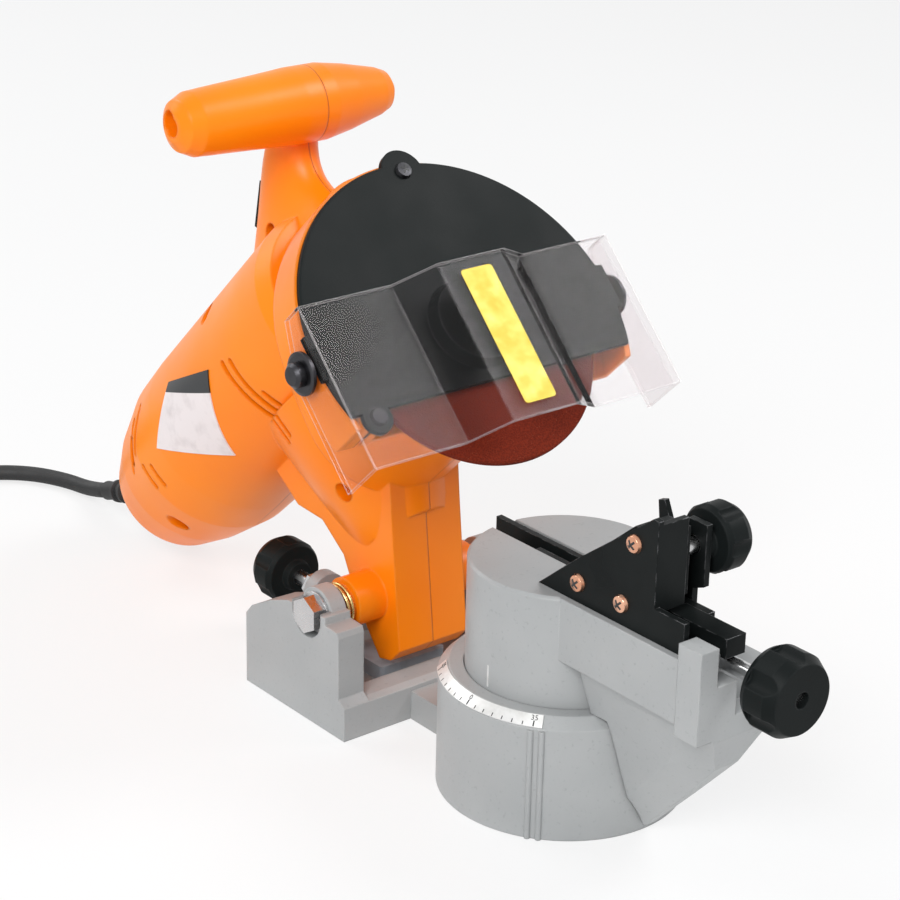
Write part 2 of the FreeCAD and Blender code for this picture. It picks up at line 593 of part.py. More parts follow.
# Stop slider: a block in the channel with a bridge over the end wall, moved by the front screw
def stop_slider():
    middle = -s.adjust_side
    low_x = middle - s.slider_width / 2
    high_x = middle + s.slider_width / 2
    bridge = s.drum_top + s.body_gap
    travel_in = 2.3
    leg = s.end_wall_front + travel_in
    main = block((low_x, -s.slider_front, s.channel_floor + s.body_gap), (high_x, -s.slider_back, s.slider_top))
    top = block((low_x, -leg - 2.4, bridge), (high_x, -s.slider_front, s.slider_top))
    front = block((low_x, -leg - 2.4, s.adjust_height + s.adjust_screw_radius + 0.6), (high_x, -leg, s.slider_top))
    tongue = block((-6, -s.slider_back, bridge + 0.7), (0.4, -s.slider_back + 30, s.slider_top - 0.5))
    join = block((-6, -s.slider_front + 4, bridge + 0.7), (0.4, -s.slider_back, s.slider_top - 0.5))
    bore = rod(s.adjust_screw_radius + s.running_gap, vector(middle, -s.slider_front - 1, s.adjust_height), 12, Y_AXIS)
    node("stop_slider", cut(fused(main, top, front, tongue, join), bore))
    tip = -s.slider_front + 9
    knob_face = -s.adjust_knob_back
    node("adjust_screw", rod(s.adjust_screw_radius, vector(middle, knob_face - s.adjust_knob_length + 3, s.adjust_height),
                             tip - knob_face + s.adjust_knob_length - 3, Y_AXIS))
    node("adjust_knob", knob(s.adjust_knob_radius, s.adjust_knob_length, s.adjust_screw_radius, 6, 1.9,
                             vector(middle, knob_face, s.adjust_height), FORWARD))


def depth_stop():
    spot = vector(-s.depth_side, s.depth_tip, s.depth_height)
    node("depth_screw", rod(s.depth_screw_radius, spot, s.depth_knob_back - s.depth_tip + s.depth_knob_length - 3,
                            Y_AXIS))
    node("depth_knob", knob(s.depth_knob_radius, s.depth_knob_length, s.depth_screw_radius, 6, 1.5,
                            vector(-s.depth_side, s.depth_knob_back, s.depth_height), Y_AXIS))
    outer = s.bracket_rear
    hollow = rod(s.depth_screw_radius + s.running_gap, vector(-s.depth_side, outer, s.depth_height), 5, Y_AXIS)
    nut = hexagon(10, vector(-s.depth_side, outer, s.depth_height), 5.0, Y_AXIS)
    node("depth_nut", cut(nut, hollow))


# Head pieces are laid out in the head's own frame: X across, -Y along the wheel axis, Z up the head
def head_ring(profile, axis_height):
    """A piece turned about an axis that runs forward at the given height; distances are stations."""
    return turned(profile, vector(0, 0, axis_height), FORWARD)


def rounded_section(reach, level, half_length, half_width):
    ellipse = Part.Ellipse(vector(0, -reach, level), half_length, half_width)
    wire = Part.Wire([ellipse.toShape()])
    wire.rotate(vector(0, -reach, level), Z_AXIS, 90)
    return wire


def housing():
    radius = s.barrel_radius
    tail = -s.tail_end
    barrel = head_ring([(0, tail), (12, tail + 1.2), (21, tail + 6), (28, tail + 15), (34, tail + 34),
                        (radius - 0.8, -80), (radius, -60), (radius, s.gear_back + 14),
                        (radius - 3, s.gear_back + 22), (0, s.gear_back + 22)], s.motor_axis)
    gear_case = formed(band(s.gear_radius, s.gear_top_radius, s.gear_back, s.gear_front))
    leg_side = [(-35, 19), (0, -25.5), (8, -25.8), (14, -22), (12, 0), (6, 20), (9, 37), (20, 49), (24, 68),
                (-34, 68), (-44, 30)]
    leg = profiled(leg_side, 2 * s.leg_half_width, vector(-s.leg_half_width, 0, 0), SIDE_VIEW)
    flare = formed(Part.makeLoft([rounded_section(15, 16, 21, 17), rounded_section(22, 48, 35, 27),
                                  rounded_section(24, 76, 43, 33)], True, False))
    boss_length = s.ear_inner - s.body_gap
    bosses = [rod(s.boss_radius, vector(-boss_length + 5.8, 0, 0), 2 * (boss_length - 5.8), X_AXIS),
              rod(s.boss_tip_radius, vector(-boss_length, 0, 0), 2 * boss_length, X_AXIS)]
    neck = formed(Part.makeLoft([rounded_section(34, 126, 40, 18), rounded_section(35.5, 140, 32, 13.5),
                                 rounded_section(43, 153, 22, 11), rounded_section(56, 166, 16.5, 10.5),
                                 rounded_section(72, 174, 12, 9.5)], True, False))
    left = s.handle_left
    right = s.handle_right
    blunt = s.handle_end_radius
    tip = s.handle_tip_radius
    handle = turned([(0, -left), (blunt * 0.5, -left + 0.7), (blunt * 0.85, -left + 3.2), (blunt + 0.6, -left + 8.5),
                     (blunt + 1, -left + 15), (s.handle_radius - 1, -24), (s.handle_radius, -8), (s.handle_radius, 6),
                     (s.handle_radius - 2, 18), (tip + 1.6, right - 8), (tip, right - 4), (tip * 0.55, right - 1),
                     (0, right)], vector(0, -s.handle_reach, s.handle_level), X_AXIS)
    outside = fused(barrel, gear_case, leg, flare, neck, handle, *bosses)

    # Hollows: the motor chamber, the belt chamber and the bearing seats
    inner = radius - s.housing_wall
    chamber = head_ring([(0, -112), (29, -112), (inner - 0.8, -80), (inner, -60), (inner, s.gear_back + 14),
                         (0, s.gear_back + 14)], s.motor_axis)
    floor = s.pulley_back - 3
    front = s.gear_front - s.gear_wall
    belt_room = formed(band(s.gear_radius - 8, s.gear_top_radius - 14, floor, front))
    seat_ring = head_ring([(0, front - s.bearing_width - 1), (s.spindle_bearing_radius + 3, front - s.bearing_width - 1),
                           (s.spindle_bearing_radius + 3, front), (0, front)], s.spindle_axis)
    belt_room = cut(belt_room, seat_ring)
    spindle_rear = floor - s.bearing_width
    seats = [head_ring([(0, spindle_rear), (s.spindle_bearing_radius, spindle_rear), (s.spindle_bearing_radius, floor),
                        (0, floor)], s.spindle_axis),
             head_ring([(0, front - s.bearing_width - 1), (s.spindle_bearing_radius, front - s.bearing_width - 1),
                        (s.spindle_bearing_radius, front), (s.spindle_radius + 2, front),
                        (s.spindle_radius + 2, s.gear_front + 1), (0, s.gear_front + 1)], s.spindle_axis),
             head_ring([(0, s.gear_back + 13), (s.rotor_shaft_radius + 2, s.gear_back + 13),
                        (s.rotor_shaft_radius + 2, floor - 7), (s.rotor_bearing_radius, floor - 7),
                        (s.rotor_bearing_radius, floor), (0, floor)], s.motor_axis),
             head_ring([(0, -120), (s.rotor_bearing_radius, -120), (s.rotor_bearing_radius, -111), (0, -111)],
                       s.motor_axis)]
    bolt_bore = rod(s.pivot_bolt_radius + s.running_gap, vector(-60, 0, 0), 120, X_AXIS)

    # Vents: three long slots behind the gear case and five short ones near the tail, on each side
    vents = []
    slots = [(12, 65, 9, 104, 1.3), (16, 66.5, 14.5, 102, 1.3), (20, 78, 19.6, 84, 1.2),
             (-79, 91, -79, 101, 1.1), (-73, 89, -73, 98, 1.1),
             (-88, 106, -78, 121, 1.1), (-92, 104, -84, 116, 1.1), (-82, 108, -71, 124, 1.1)]
    for reach_low, low, reach_high, high, half in slots:
        for side in (-1, 1):
            start = vector(side * 19, -reach_low, low)
            finish = vector(side * 19, -reach_high, high)
            path = Part.Face(side_slot(start, finish, half))
            vents.append(formed(path.extrude(X_AXIS * (side * 30))))

    # Screw wells on the left and threaded bosses on the right
    wells = []
    posts = []
    for reach, level, head_x, length in housing_screw_spots():
        wells.append(rod(3.9, vector(-70, -reach, level), 70 + head_x, X_AXIS))
        wells.append(rod(1.8, vector(head_x, -reach, level), length, X_AXIS))
        if reach < 0:
            posts.append(rod(4.6, vector(-32, -reach, level), 64, X_AXIS))
    oval_end = rod(3.9, vector(-70, -s.handle_reach, s.handle_level + 3), 38, X_AXIS)
    switch_room = fused(switch_box(6.5, 8.5, -9, 14), switch_box(8.0, 10.0, 1.0, 16))
    inverse = HEAD.inverse()
    relief_way = inverse.Rotation.multVec(cord_way())
    relief_seat = rod(6.6, inverse.multVec(vector(*RELIEF_START)), 40, relief_way)
    shell = fused(cut(outside, chamber), common(outside, fused(*posts)))
    hollow = [belt_room, bolt_bore, switch_room, oval_end, relief_seat] + seats + vents + wells
    body = cut(shell, *hollow)
    far = 220.0
    node("housing_left", common(body, block((-far, -far, -far), (0, far, far))), HEAD)
    node("housing_right", common(body, block((0, -far, -far), (far, far, far))), HEAD)


def side_slot(start, finish, half):
    """A round-ended slot in the plane across X."""
    up = finish.sub(start).normalize()
    side = up.cross(X_AXIS)
    edges = [Part.LineSegment(start + side * half, finish + side * half).toShape(),
             Part.Arc(finish + side * half, finish + up * half, finish - side * half).toShape(),
             Part.LineSegment(finish - side * half, start - side * half).toShape(),
             Part.Arc(start - side * half, start - up * half, start + side * half).toShape()]
    return Part.Wire(edges)


def housing_screw_spots():
    """Station, level, head seat and length of each screw that closes the two halves."""
    return [(-4.5, 131, -16, 26), (22, 36, -12, 24), (-94, 78, -14, 22),
            (float(s.handle_reach), float(s.handle_level), -32, 44), (38, 141, -6, 14)]


def housing_screws():
    screws = []
    for reach, level, head_x, length in housing_screw_spots():
        spot = vector(head_x, -reach, level)
        head = turned([(0, 0), (3.4, 0), (3.1, 1.8), (0, 2.4)], spot, X_AXIS * -1)
        screws.append(fused(head, rod(1.8, spot, length, X_AXIS)))
    node("housing_screws", group(*screws), HEAD)


# Switch on the back of the neck: a frame let into the neck and a rocker that tips across X
SWITCH_REACH = 33.1
SWITCH_LEVEL = 155.4
SWITCH_LEAN = 35.0


def switch_placement():
    return FreeCAD.Placement(vector(0, -SWITCH_REACH, SWITCH_LEVEL), FreeCAD.Rotation(X_AXIS, -SWITCH_LEAN))


def switch_box(half_x, half_y, low, high):
    box = document.addObject("Part::Box", "SwitchBox")
    box.Length = 2 * half_x
    box.Width = 2 * half_y
    box.Height = high - low
    local = FreeCAD.Placement(FreeCAD.Vector(-half_x, -half_y, low), FreeCAD.Rotation())
    box.Placement = switch_placement().multiply(local)
    return box


def switch():
    frame = cut(fused(switch_box(6.5, 8.5, -9, 1.0), switch_box(8.0, 10.0, 1.0, 2.4)), switch_box(4.6, 6.6, -6.5, 4))
    node("switch_frame", frame, HEAD)
    cap = 5.4
    tipped = [(-cap, 3.0), (-cap, -0.5), (0, -2.5), (cap, -0.5), (cap, 1.2), (0, 0.9)]
    cap_body = profiled(tipped, 7.8, vector(-3.9, 0, 0), SIDE_VIEW)
    rocker = fused(cap_body, rod(1.2, vector(-4.5, 0, 0), 9.0, X_AXIS))
    rocker.Placement = switch_placement()
    node("switch_rocker", rocker, HEAD)


# Rating panel: a blank curved plate on the left of the barrel
def rating_panel():
    inner = s.barrel_radius + 0.05
    outer = s.barrel_radius + 0.55
    sleeve = head_ring([(inner, -70), (outer, -70), (outer, 5), (inner, 5)], s.motor_axis)
    outline = [(2, 107), (37, 119), (61, 101), (24, 77)]
    prism = profiled(outline, 40, vector(-50, 0, 0), SIDE_VIEW)
    sleeve_cut = common(sleeve, prism)
    node("rating_panel", sleeve_cut, HEAD)


# Motor: laminated stator with its coils, wound armature, commutator, brushes and fan
def motor():
    axis = s.motor_axis
    back = -s.stack_back
    front = -s.stack_front
    bore = s.armature_radius + s.air_gap
    ring = head_ring([(bore, back), (s.stator_radius, back), (s.stator_radius, front), (bore, front)], axis)
    windows = []
    for side in (-1, 1):
        for level in (-1, 1):
            centre = vector(side * 15, -s.stack_front - 1, axis + level * 21.5)
            windows.append(rod(5.5, centre + vector(0, 2, 0), s.stack_back - s.stack_front + 4, Y_AXIS))
    flats = [block((low, -200, axis - 50), (low + 20, 200, axis + 50)) for low in (-s.stator_radius - 16.5,
                                                                                  s.stator_radius - 3.5)]
    node("stator", cut(ring, *(windows + flats)), HEAD)
    coils = []
    for station in (back - 6.5, front + 0.3):
        loop = head_ring([(bore + 2, station), (s.stator_radius - 5, station), (s.stator_radius - 5, station + 4),
                          (s.stator_radius - 8, station + 6.2), (bore + 4, station + 6.2), (bore + 2, station + 4)], axis)
        coils.append(loop)
    node("field_coils", group(*coils), HEAD)
    core = head_ring([(s.rotor_shaft_radius, back), (s.armature_radius, back), (s.armature_radius, front),
                      (s.rotor_shaft_radius, front)], axis)
    grooves = []
    teeth = 12
    for tooth in range(teeth):
        angle = 2 * math.pi * tooth / teeth
        spot = vector(18.6 * math.cos(angle), s.stack_back + 1, axis + 18.6 * math.sin(angle))
        grooves.append(rod(1.6, vector(spot.x, -(-float(s.stack_back)) + 1, spot.z),
                           s.stack_back - s.stack_front + 2, FORWARD))
    node("armature_core", cut(core, *grooves), HEAD)
    ends = []
    for station in (back - 5.5, front + 0.05):
        low = station
        ends.append(head_ring([(s.rotor_shaft_radius, low), (13, low), (s.armature_radius - 3, low + 2),
                               (s.armature_radius - 3, low + 3.6), (14, low + 5.4), (s.rotor_shaft_radius, low + 5.4)],
                              axis))
    node("armature_windings", group(*ends), HEAD)
    bars = s.brush_station
    barrel = head_ring([(s.rotor_shaft_radius, -bars - 8), (s.commutator_radius, -bars - 8),
                        (s.commutator_radius, -bars + 8), (s.commutator_radius + 1.6, -bars + 8.4),
                        (s.commutator_radius + 1.6, -bars + 10.4), (s.rotor_shaft_radius, -bars + 10.4)], axis)
    node("commutator", barrel, HEAD)
    pulley_front = s.pulley_back + s.pulley_width
    node("rotor_shaft", head_ring([(0, -118), (s.rotor_shaft_radius - 0.4, -118), (s.rotor_shaft_radius, -117),
                                   (s.rotor_shaft_radius, pulley_front - 0.5),
                                   (s.rotor_shaft_radius - 0.5, pulley_front), (0, pulley_front)], axis), HEAD)
    hub_back = s.gear_back - 12
    hub = head_ring([(s.rotor_shaft_radius, hub_back), (9, hub_back), (9, hub_back + 12),
                     (s.rotor_shaft_radius, hub_back + 12)], axis)
    disc = head_ring([(8, hub_back), (s.fan_radius, hub_back), (s.fan_radius, hub_back + 1.4), (8, hub_back + 1.4)], axis)
    blades = []
    count = 9
    for index in range(count):
        blade = block((8.5, -hub_back - 11, -0.6), (s.fan_radius - 1, -hub_back - 1, 0.6))
        turn = FreeCAD.Rotation(Y_AXIS, 360.0 * index / count)
        blade.Placement = FreeCAD.Placement(vector(0, 0, axis), turn).multiply(blade.Placement)
        blades.append(blade)
    node("motor_fan", fused(hub, disc, *blades), HEAD)
    holders = []
    brushes = []
    for side in (-1, 1):
        reach = s.commutator_radius + 1.2
        outer = 33.0
        low = reach if side > 0 else Size(-outer, "-%r" % outer)
        high = outer if side > 0 else -reach
        tube = block((low, bars - 4.5, axis - 5.5), (high, bars + 4.5, axis + 5.5))
        holders.append(cut(tube, brush(side, 3.2, 4.2, reach - 2, outer - 2)))
        brushes.append(brush(side, 3.1, 4.1, s.commutator_radius + 0.3, 26))
    node("brush_holders", group(*holders), HEAD)
    node("brushes", group(*brushes), HEAD)


def brush(side, half_y, half_z, near, far):
    low = near if side > 0 else -1 * Size(far, repr(float(far)))
    high = far if side > 0 else -near
    return block((low, s.brush_station - half_y, s.motor_axis - half_z),
                 (high, s.brush_station + half_y, s.motor_axis + half_z))


def bearing(bore, outside, station, width, axis):
    return head_ring([(bore + s.running_gap, station), (outside, station), (outside, station + width),
                      (bore + s.running_gap, station + width)], axis)


# Belt drive from the motor shaft down to the wheel spindle
def belt_drive():
    floor = s.pulley_back - 3
    front = s.gear_front - s.gear_wall
    width = s.bearing_width
    rotor_rings = [bearing(s.rotor_shaft_radius, s.rotor_bearing_radius, station, 7, s.motor_axis)
                   for station in (floor - 7, -118.5)]
    spindle_rings = [bearing(s.spindle_radius, s.spindle_bearing_radius, station, width, s.spindle_axis)
                     for station in (floor - width, front - width)]
    node("ball_bearings", group(*(rotor_rings + spindle_rings)), HEAD)
    node("motor_pulley", toothed_pulley(s.motor_pulley_radius, s.rotor_shaft_radius, s.motor_axis, 11), HEAD)
    node("spindle_pulley", toothed_pulley(s.spindle_pulley_radius, s.spindle_radius, s.spindle_axis, 30), HEAD)
    back = s.pulley_back + 0.5
    ahead = s.pulley_back + s.pulley_width - 0.5
    gap = s.body_gap
    outer = band(s.spindle_pulley_radius + gap + s.belt_thickness, s.motor_pulley_radius + gap + s.belt_thickness,
                 back, ahead)
    inner = band(s.spindle_pulley_radius + gap, s.motor_pulley_radius + gap, back - 1, ahead + 1)
    node("drive_belt", formed(outer.cut(inner)), HEAD)


def toothed_pulley(radius, bore, axis, teeth):
    start = s.pulley_back
    wheel = head_ring([(bore, start), (radius, start), (radius, start + s.pulley_width),
                       (bore, start + s.pulley_width)], axis)
    gaps = []
    for tooth in range(teeth):
        angle = 2 * math.pi * tooth / teeth
        spot = vector(radius * math.cos(angle), -start + 1, axis + radius * math.sin(angle))
        gaps.append(rod(0.8, spot, s.pulley_width + 2, FORWARD))
    return cut(wheel, *gaps)


# Wheel: a thin grinding disc between two flanges on the spindle
def grinding_wheel():
    axis = s.spindle_axis
    back = s.wheel_station - s.wheel_thickness / 2
    front = s.wheel_station + s.wheel_thickness / 2
    bore = s.wheel_bore / 2
    rim = s.wheel_diameter / 2
    node("grinding_wheel", head_ring([(bore, back), (rim - 0.6, back), (rim, back + 0.6), (rim, front - 0.6),
                                      (rim - 0.6, front), (bore, front)], axis), HEAD)
    node("inner_flange", head_ring([(s.spindle_radius, back - 6), (8, back - 6), (8, back - 4), (19, back - 4),
                                    (19, back), (bore, back), (bore, back + 2), (s.spindle_radius, back + 2)], axis),
         HEAD)
    node("outer_flange", head_ring([(s.spindle_radius, front), (bore + 2.5, front), (bore + 2.5, front + 1.8),
                                    (bore + 1.5, front + 2.4), (s.spindle_radius, front + 2.4)], axis), HEAD)
    nut = hexagon(14, vector(0, -float(front) - 2.4, axis), 4.6, FORWARD)
    node("wheel_nut", cut(nut, rod(s.spindle_radius, vector(0, -float(front), axis), 12, FORWARD)), HEAD)
    rear = s.pulley_back - 3 - s.bearing_width + 0.5
    node("spindle", head_ring([(0, rear), (s.spindle_radius - 0.5, rear), (s.spindle_radius, rear + 0.5),
                               (s.spindle_radius, front + 6.4), (s.spindle_radius - 0.6, front + 7),
                               (0, front + 7)], axis), HEAD)


def tab_spots():
    """The three ears round the guard: straight up and level to each side."""
    reach = float(s.tab_reach)
    return [(3.5, reach), (reach + 3, 2.0), (-reach - 3, 2.0)]


# Wheel guard: an orange shroud behind and round the wheel, closed in front by a black cover
def wheel_guard():
    axis = s.spindle_axis
    back = s.gear_front
    rim = s.guard_back
    shell = head_ring([(s.spindle_radius + 2, back), (s.shroud_radius, back), (s.shroud_radius, rim),
                       (s.shroud_radius - s.shroud_wall, rim), (s.shroud_radius - s.shroud_wall, back + s.shroud_wall),
                       (s.spindle_radius + 2, back + s.shroud_wall)], axis)
    below = block((-100, -130, -40), (100, -60, s.shroud_chord))
    ears = [rod(s.tab_radius - 1.5, vector(x, -back, axis + z), rim - back, FORWARD) for x, z in tab_spots()[:1]]
    sides = [block((low, -rim, axis - 8), (low + 7, -back, axis + 8)) for low in (-s.shroud_radius + 0.9,
                                                                                s.shroud_radius - 7.9)]
    bolt_holes = rod(s.visor_bolt_radius, vector(-100, -s.visor_pivot_reach, axis), 200, X_AXIS)
    lower_ear = rod(6.0, vector(-56, -back, axis - 25), rim - back, FORWARD)
    holes = [rod(s.guard_screw_radius, vector(x, -back + 5, axis + z), 40, FORWARD) for x, z in guard_screw_spots()]
    sweep_room = head_ring([(0, back + s.shroud_wall), (s.wheel_diameter / 2 + 2.5, back + s.shroud_wall),
                            (s.wheel_diameter / 2 + 2.5, rim + 1), (0, rim + 1)], axis)
    node("wheel_shroud", cut(fused(shell, lower_ear, *(ears + sides)), below, bolt_holes, sweep_room, *holes), HEAD)

    ahead = s.guard_thickness
    cover = head_ring([(0, rim), (s.guard_radius, rim), (s.guard_radius, rim + ahead - 0.8),
                       (s.guard_radius - 0.8, rim + ahead), (s.guard_dome_radius, rim + ahead),
                       (s.guard_dome_radius - 1.5, rim + s.guard_dome_height), (0, rim + s.guard_dome_height)], axis)
    hollow = head_ring([(0, rim - 1), (s.guard_dome_radius - 2, rim - 1),
                        (s.guard_dome_radius - 3, rim + s.guard_dome_height - 1.6),
                        (0, rim + s.guard_dome_height - 1.6)], axis)
    tabs = [rod(s.tab_radius, vector(x, -rim, axis + z), ahead, FORWARD) for x, z in tab_spots()]
    lower_tab = rod(6.0, vector(-56, -rim, axis - 25), ahead, FORWARD)
    chord = block((-100, -130, -40), (100, -60, s.guard_chord))
    flap_room = [block((low, -s.visor_front + 1, s.visor_low - 12), (low + 8, -90, s.visor_high + 8))
                 for low in (-s.visor_half_width - 6, s.visor_half_width - 2)]
    plate = cut(fused(cover, *tabs), hollow, chord, *(flap_room + holes_for(rim)))
    low_screw = cut(lower_tab, *holes_for(rim))
    node("guard_cover", fused(plate, low_screw), HEAD)
    screws = []
    for x, z in guard_screw_spots():
        spot = vector(x, -rim - ahead, axis + z)
        head = turned([(0, 0), (3.4, 0), (2.9, 1.5), (0, 2.0)], spot, FORWARD)
        screws.append(fused(head, rod(s.guard_screw_radius, spot, 13, Y_AXIS)))
    node("guard_screws", group(*screws), HEAD)


def guard_screw_spots():
    return [(3.5, float(s.tab_reach)), (-56.0, -25.0)]


def holes_for(rim):
    return [rod(s.guard_screw_radius, vector(x, -rim + 5, s.spindle_axis + z), 40, FORWARD)
            for x, z in guard_screw_spots()]


# Eye visor: one folded clear sheet, hung on a bolt at each side of the shroud
def visor():
    half = s.visor_half_width
    sheet = s.visor_sheet
    front = s.visor_front
    nose = s.visor_nose_front
    outline = [(-half, s.visor_back), (-half, front), (-s.visor_fold, front), (-s.visor_nose, nose), (s.visor_nose, nose),
               (s.visor_fold, front), (half, front), (half, s.visor_back), (half - sheet, s.visor_back),
               (half - sheet, front - sheet), (s.visor_fold - 0.6, front - sheet), (s.visor_nose - 0.6, nose - sheet),
               (-s.visor_nose + 0.6, nose - sheet), (-s.visor_fold + 0.6, front - sheet),
               (-half + sheet, front - sheet), (-half + sheet, s.visor_back)]
    section = [(across, -reach) for across, reach in outline]
    folded = profiled(section, s.visor_high - s.visor_low, vector(0, 0, s.visor_low))
    corner = [(-s.visor_back + 0.5, s.visor_high - 22), (-s.visor_back + 0.5, s.visor_high + 1),
              (-105.7, s.visor_high + 1)]
    trim = profiled(corner, 2 * half + 10, vector(-half - 5, 0, 0), SIDE_VIEW)
    holes = rod(s.visor_bolt_radius + s.running_gap, vector(-100, -s.visor_pivot_reach, s.spindle_axis), 200, X_AXIS)
    node("visor", cut(folded, trim, holes), HEAD)
    bolts = []
    washers = []
    for side in (-1, 1):
        spot = vector(side * (half + 1.9), -s.visor_pivot_reach, s.spindle_axis)
        head = turned([(0, 0), (4.6, 0), (4.6, 2.6), (3.4, 3.8), (0, 3.8)], spot, X_AXIS * side)
        bolts.append(fused(head, rod(s.visor_bolt_radius, spot, 11.5, X_AXIS * -side)))
        rim = turned([(s.visor_bolt_radius + s.running_gap, 0), (8, 0), (8, 1.3), (6.8, 1.7),
                      (s.visor_bolt_radius + s.running_gap, 1.7)],
                     vector(side * (half + 0.1), -s.visor_pivot_reach, s.spindle_axis), X_AXIS * side)
        washers.append(rim)
    node("visor_bolts", group(*bolts), HEAD)
    node("visor_washers", group(*washers), HEAD)


# The cord's solids: the relief, a free stretch, one two-layer coil and a plug
def rounded_route(points):
    """Straight runs joined by tangent arcs, each as large as its two runs allow."""
    edges = []
    radii = []
    last = points[0]
    for before, corner, after in zip(points, points[1:], points[2:]):
        run_in = (corner - before).Length
        run_out = (after - corner).Length
        way_in = (corner - before).normalize()
        way_out = (after - corner).normalize()
        half_turn = math.acos(max(-1, min(1, way_in.dot(way_out)))) / 2
        reach = 0.45 * min(run_in, run_out)
        radii.append(round(reach / math.tan(half_turn), 1))
        begin = corner - way_in * reach
        finish = corner + way_out * reach
        edges.append(Part.LineSegment(last, begin).toShape())
        edges.append(arc_from(begin, way_in, finish))
        last = finish
    edges.append(Part.LineSegment(last, points[-1]).toShape())
    print("cord bend radii", radii)
    return edges


def mains_cord():
    route = [vector(*point) for point in CORD_ROUTE]
    route = [vector(point.x, point.y, s.cord_rest if index else point.z) for index, point in enumerate(route)]
    edges = rounded_route(route)
    exit_way = (route[1] - route[0]).normalize()
    radius = float(s.cord_radius)
    tube = swept(edges, radius, route[0], exit_way)
    length = sum(edge.Length for edge in edges)
    print("cord stretch", round(length, 1), "volume ratio", round(tube.Volume / (math.pi * radius ** 2 * length), 4))
    node("mains_cord", formed(tube))
    start = vector(*RELIEF_START)
    reach = (route[0] - start).Length - float(s.body_gap)
    way = cord_way()
    ribs = []
    rib_count = 5
    for index in range(rib_count):
        low = 17 + index * (reach - 22) / rib_count
        girth = 6.4 - 0.28 * index
        ribs += [(girth - 1.3, low), (girth, low + 0.4), (girth - 0.1, low + 2.4), (girth - 1.4, low + 2.8)]
    relief = turned([(0, 0), (6.6, 0), (6.6, 15), (5.4, 15.5)] + ribs + [(4.4, reach), (0, reach)], start, way)
    node("strain_relief", relief)

    heading = (route[-1] - route[-2]).normalize()
    begin_angle = math.atan2(heading.x, -heading.y)
    outer = float(s.coil_outer)
    centre = route[-1] - vector(outer * math.cos(begin_angle), outer * math.sin(begin_angle), 0)
    turns = int(s.coil_turns.value)
    layer = 2 * radius + 1.6
    inner = outer - float(s.coil_step) * turns
    swap = 0.5

    def spiral(turn):
        if turn <= turns:
            return outer - float(s.coil_step) * turn, 0.0
        if turn <= turns + swap:
            share = (turn - turns) / swap
            return inner, layer * (3 * share ** 2 - 2 * share ** 3)
        return inner + float(s.coil_step) * (turn - turns - swap), layer

    def point(turn):
        size, lift = spiral(turn)
        angle = begin_angle - 2 * math.pi * turn
        return centre + vector(size * math.cos(angle), size * math.sin(angle), lift)

    def way_at(turn):
        tiny = 1e-5
        last_turn = 2 * turns + swap
        if turn <= 0:
            return heading
        if turn >= last_turn:
            angle = begin_angle - 2 * math.pi * turn
            return vector(math.sin(angle), -math.cos(angle), 0)
        return (point(min(turn + tiny, last_turn)) - point(turn - tiny)).normalize()

    path = []
    step = 0.25
    count = int((2 * turns + swap) / step)
    for index in range(count):
        here = index * step
        path += biarc(point(here), way_at(here), point(here + step), way_at(here + step))
    end = point(2 * turns + swap)
    end_way = way_at(2 * turns + swap)
    path.append(Part.LineSegment(end, end + end_way * (2 * radius)).toShape())
    coil = swept(path, radius, route[-1], heading)
    coil_length = sum(edge.Length for edge in path)
    print("coil length", round(coil_length, 1), "turns", 2 * turns + swap,
          "least gap", round(least_gap(point, 2 * turns + swap) - 2 * radius, 2),
          "volume ratio", round(coil.Volume / (math.pi * radius ** 2 * coil_length), 4))
    node("cord_coil", formed(coil))
    tip = end + end_way * (2 * radius)
    body = turned([(0, 0), (5.4, 0), (6.2, 14), (10.4, 18), (10.8, 40), (9.4, 44), (0, 44)], tip, end_way)
    sideways = end_way.cross(Z_AXIS)
    pins = [rod(2.0, tip + end_way * 40 + sideways * offset, 23, end_way) for offset in (-6.35, 6.35)]
    node("mains_plug", fused(body, *pins))
    print("whole cord", round(length + coil_length, 0), "coil centre", centre, "plug tip", tip + end_way * 63)


bench_bracket()
pivot_fasteners()
return_spring()
turntable_base()
vise_body()
chain_clamp()
stop_slider()
depth_stop()
housing()
housing_screws()
switch()
rating_panel()
motor()
belt_drive()
grinding_wheel()
wheel_guard()
visor()
mains_cord()
document.recompute()

# Every object must be sound before anything is written
problems = [item.Name + " " + item.Label for item in document.Objects
            if "Invalid" in item.State or "Error" in item.State]
for name, feature in nodes.items():
    if feature.Shape.isNull() or not feature.Shape.isValid() or not feature.Shape.Solids:
        problems.append(name)
if problems:
    raise RuntimeError("failed objects: " + ", ".join(problems))
os.makedirs("parts", exist_ok=True)
for name, feature in nodes.items():
    feature.Shape.exportStep("parts/" + name + ".step")
    solids = len(feature.Shape.Solids)
    box = feature.Shape.optimalBoundingBox(False, False)
    print("%-18s %2d solids %10.0f mm3  x %6.1f %6.1f  y %6.1f %6.1f  z %6.1f %6.1f" % (
        name, solids, feature.Shape.Volume, box.XMin, box.XMax, box.YMin, box.YMax, box.ZMin, box.ZMax))
print(len(nodes), "sub-parts written")
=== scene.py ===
import json
import math

import bpy
from mathutils import Matrix, Vector


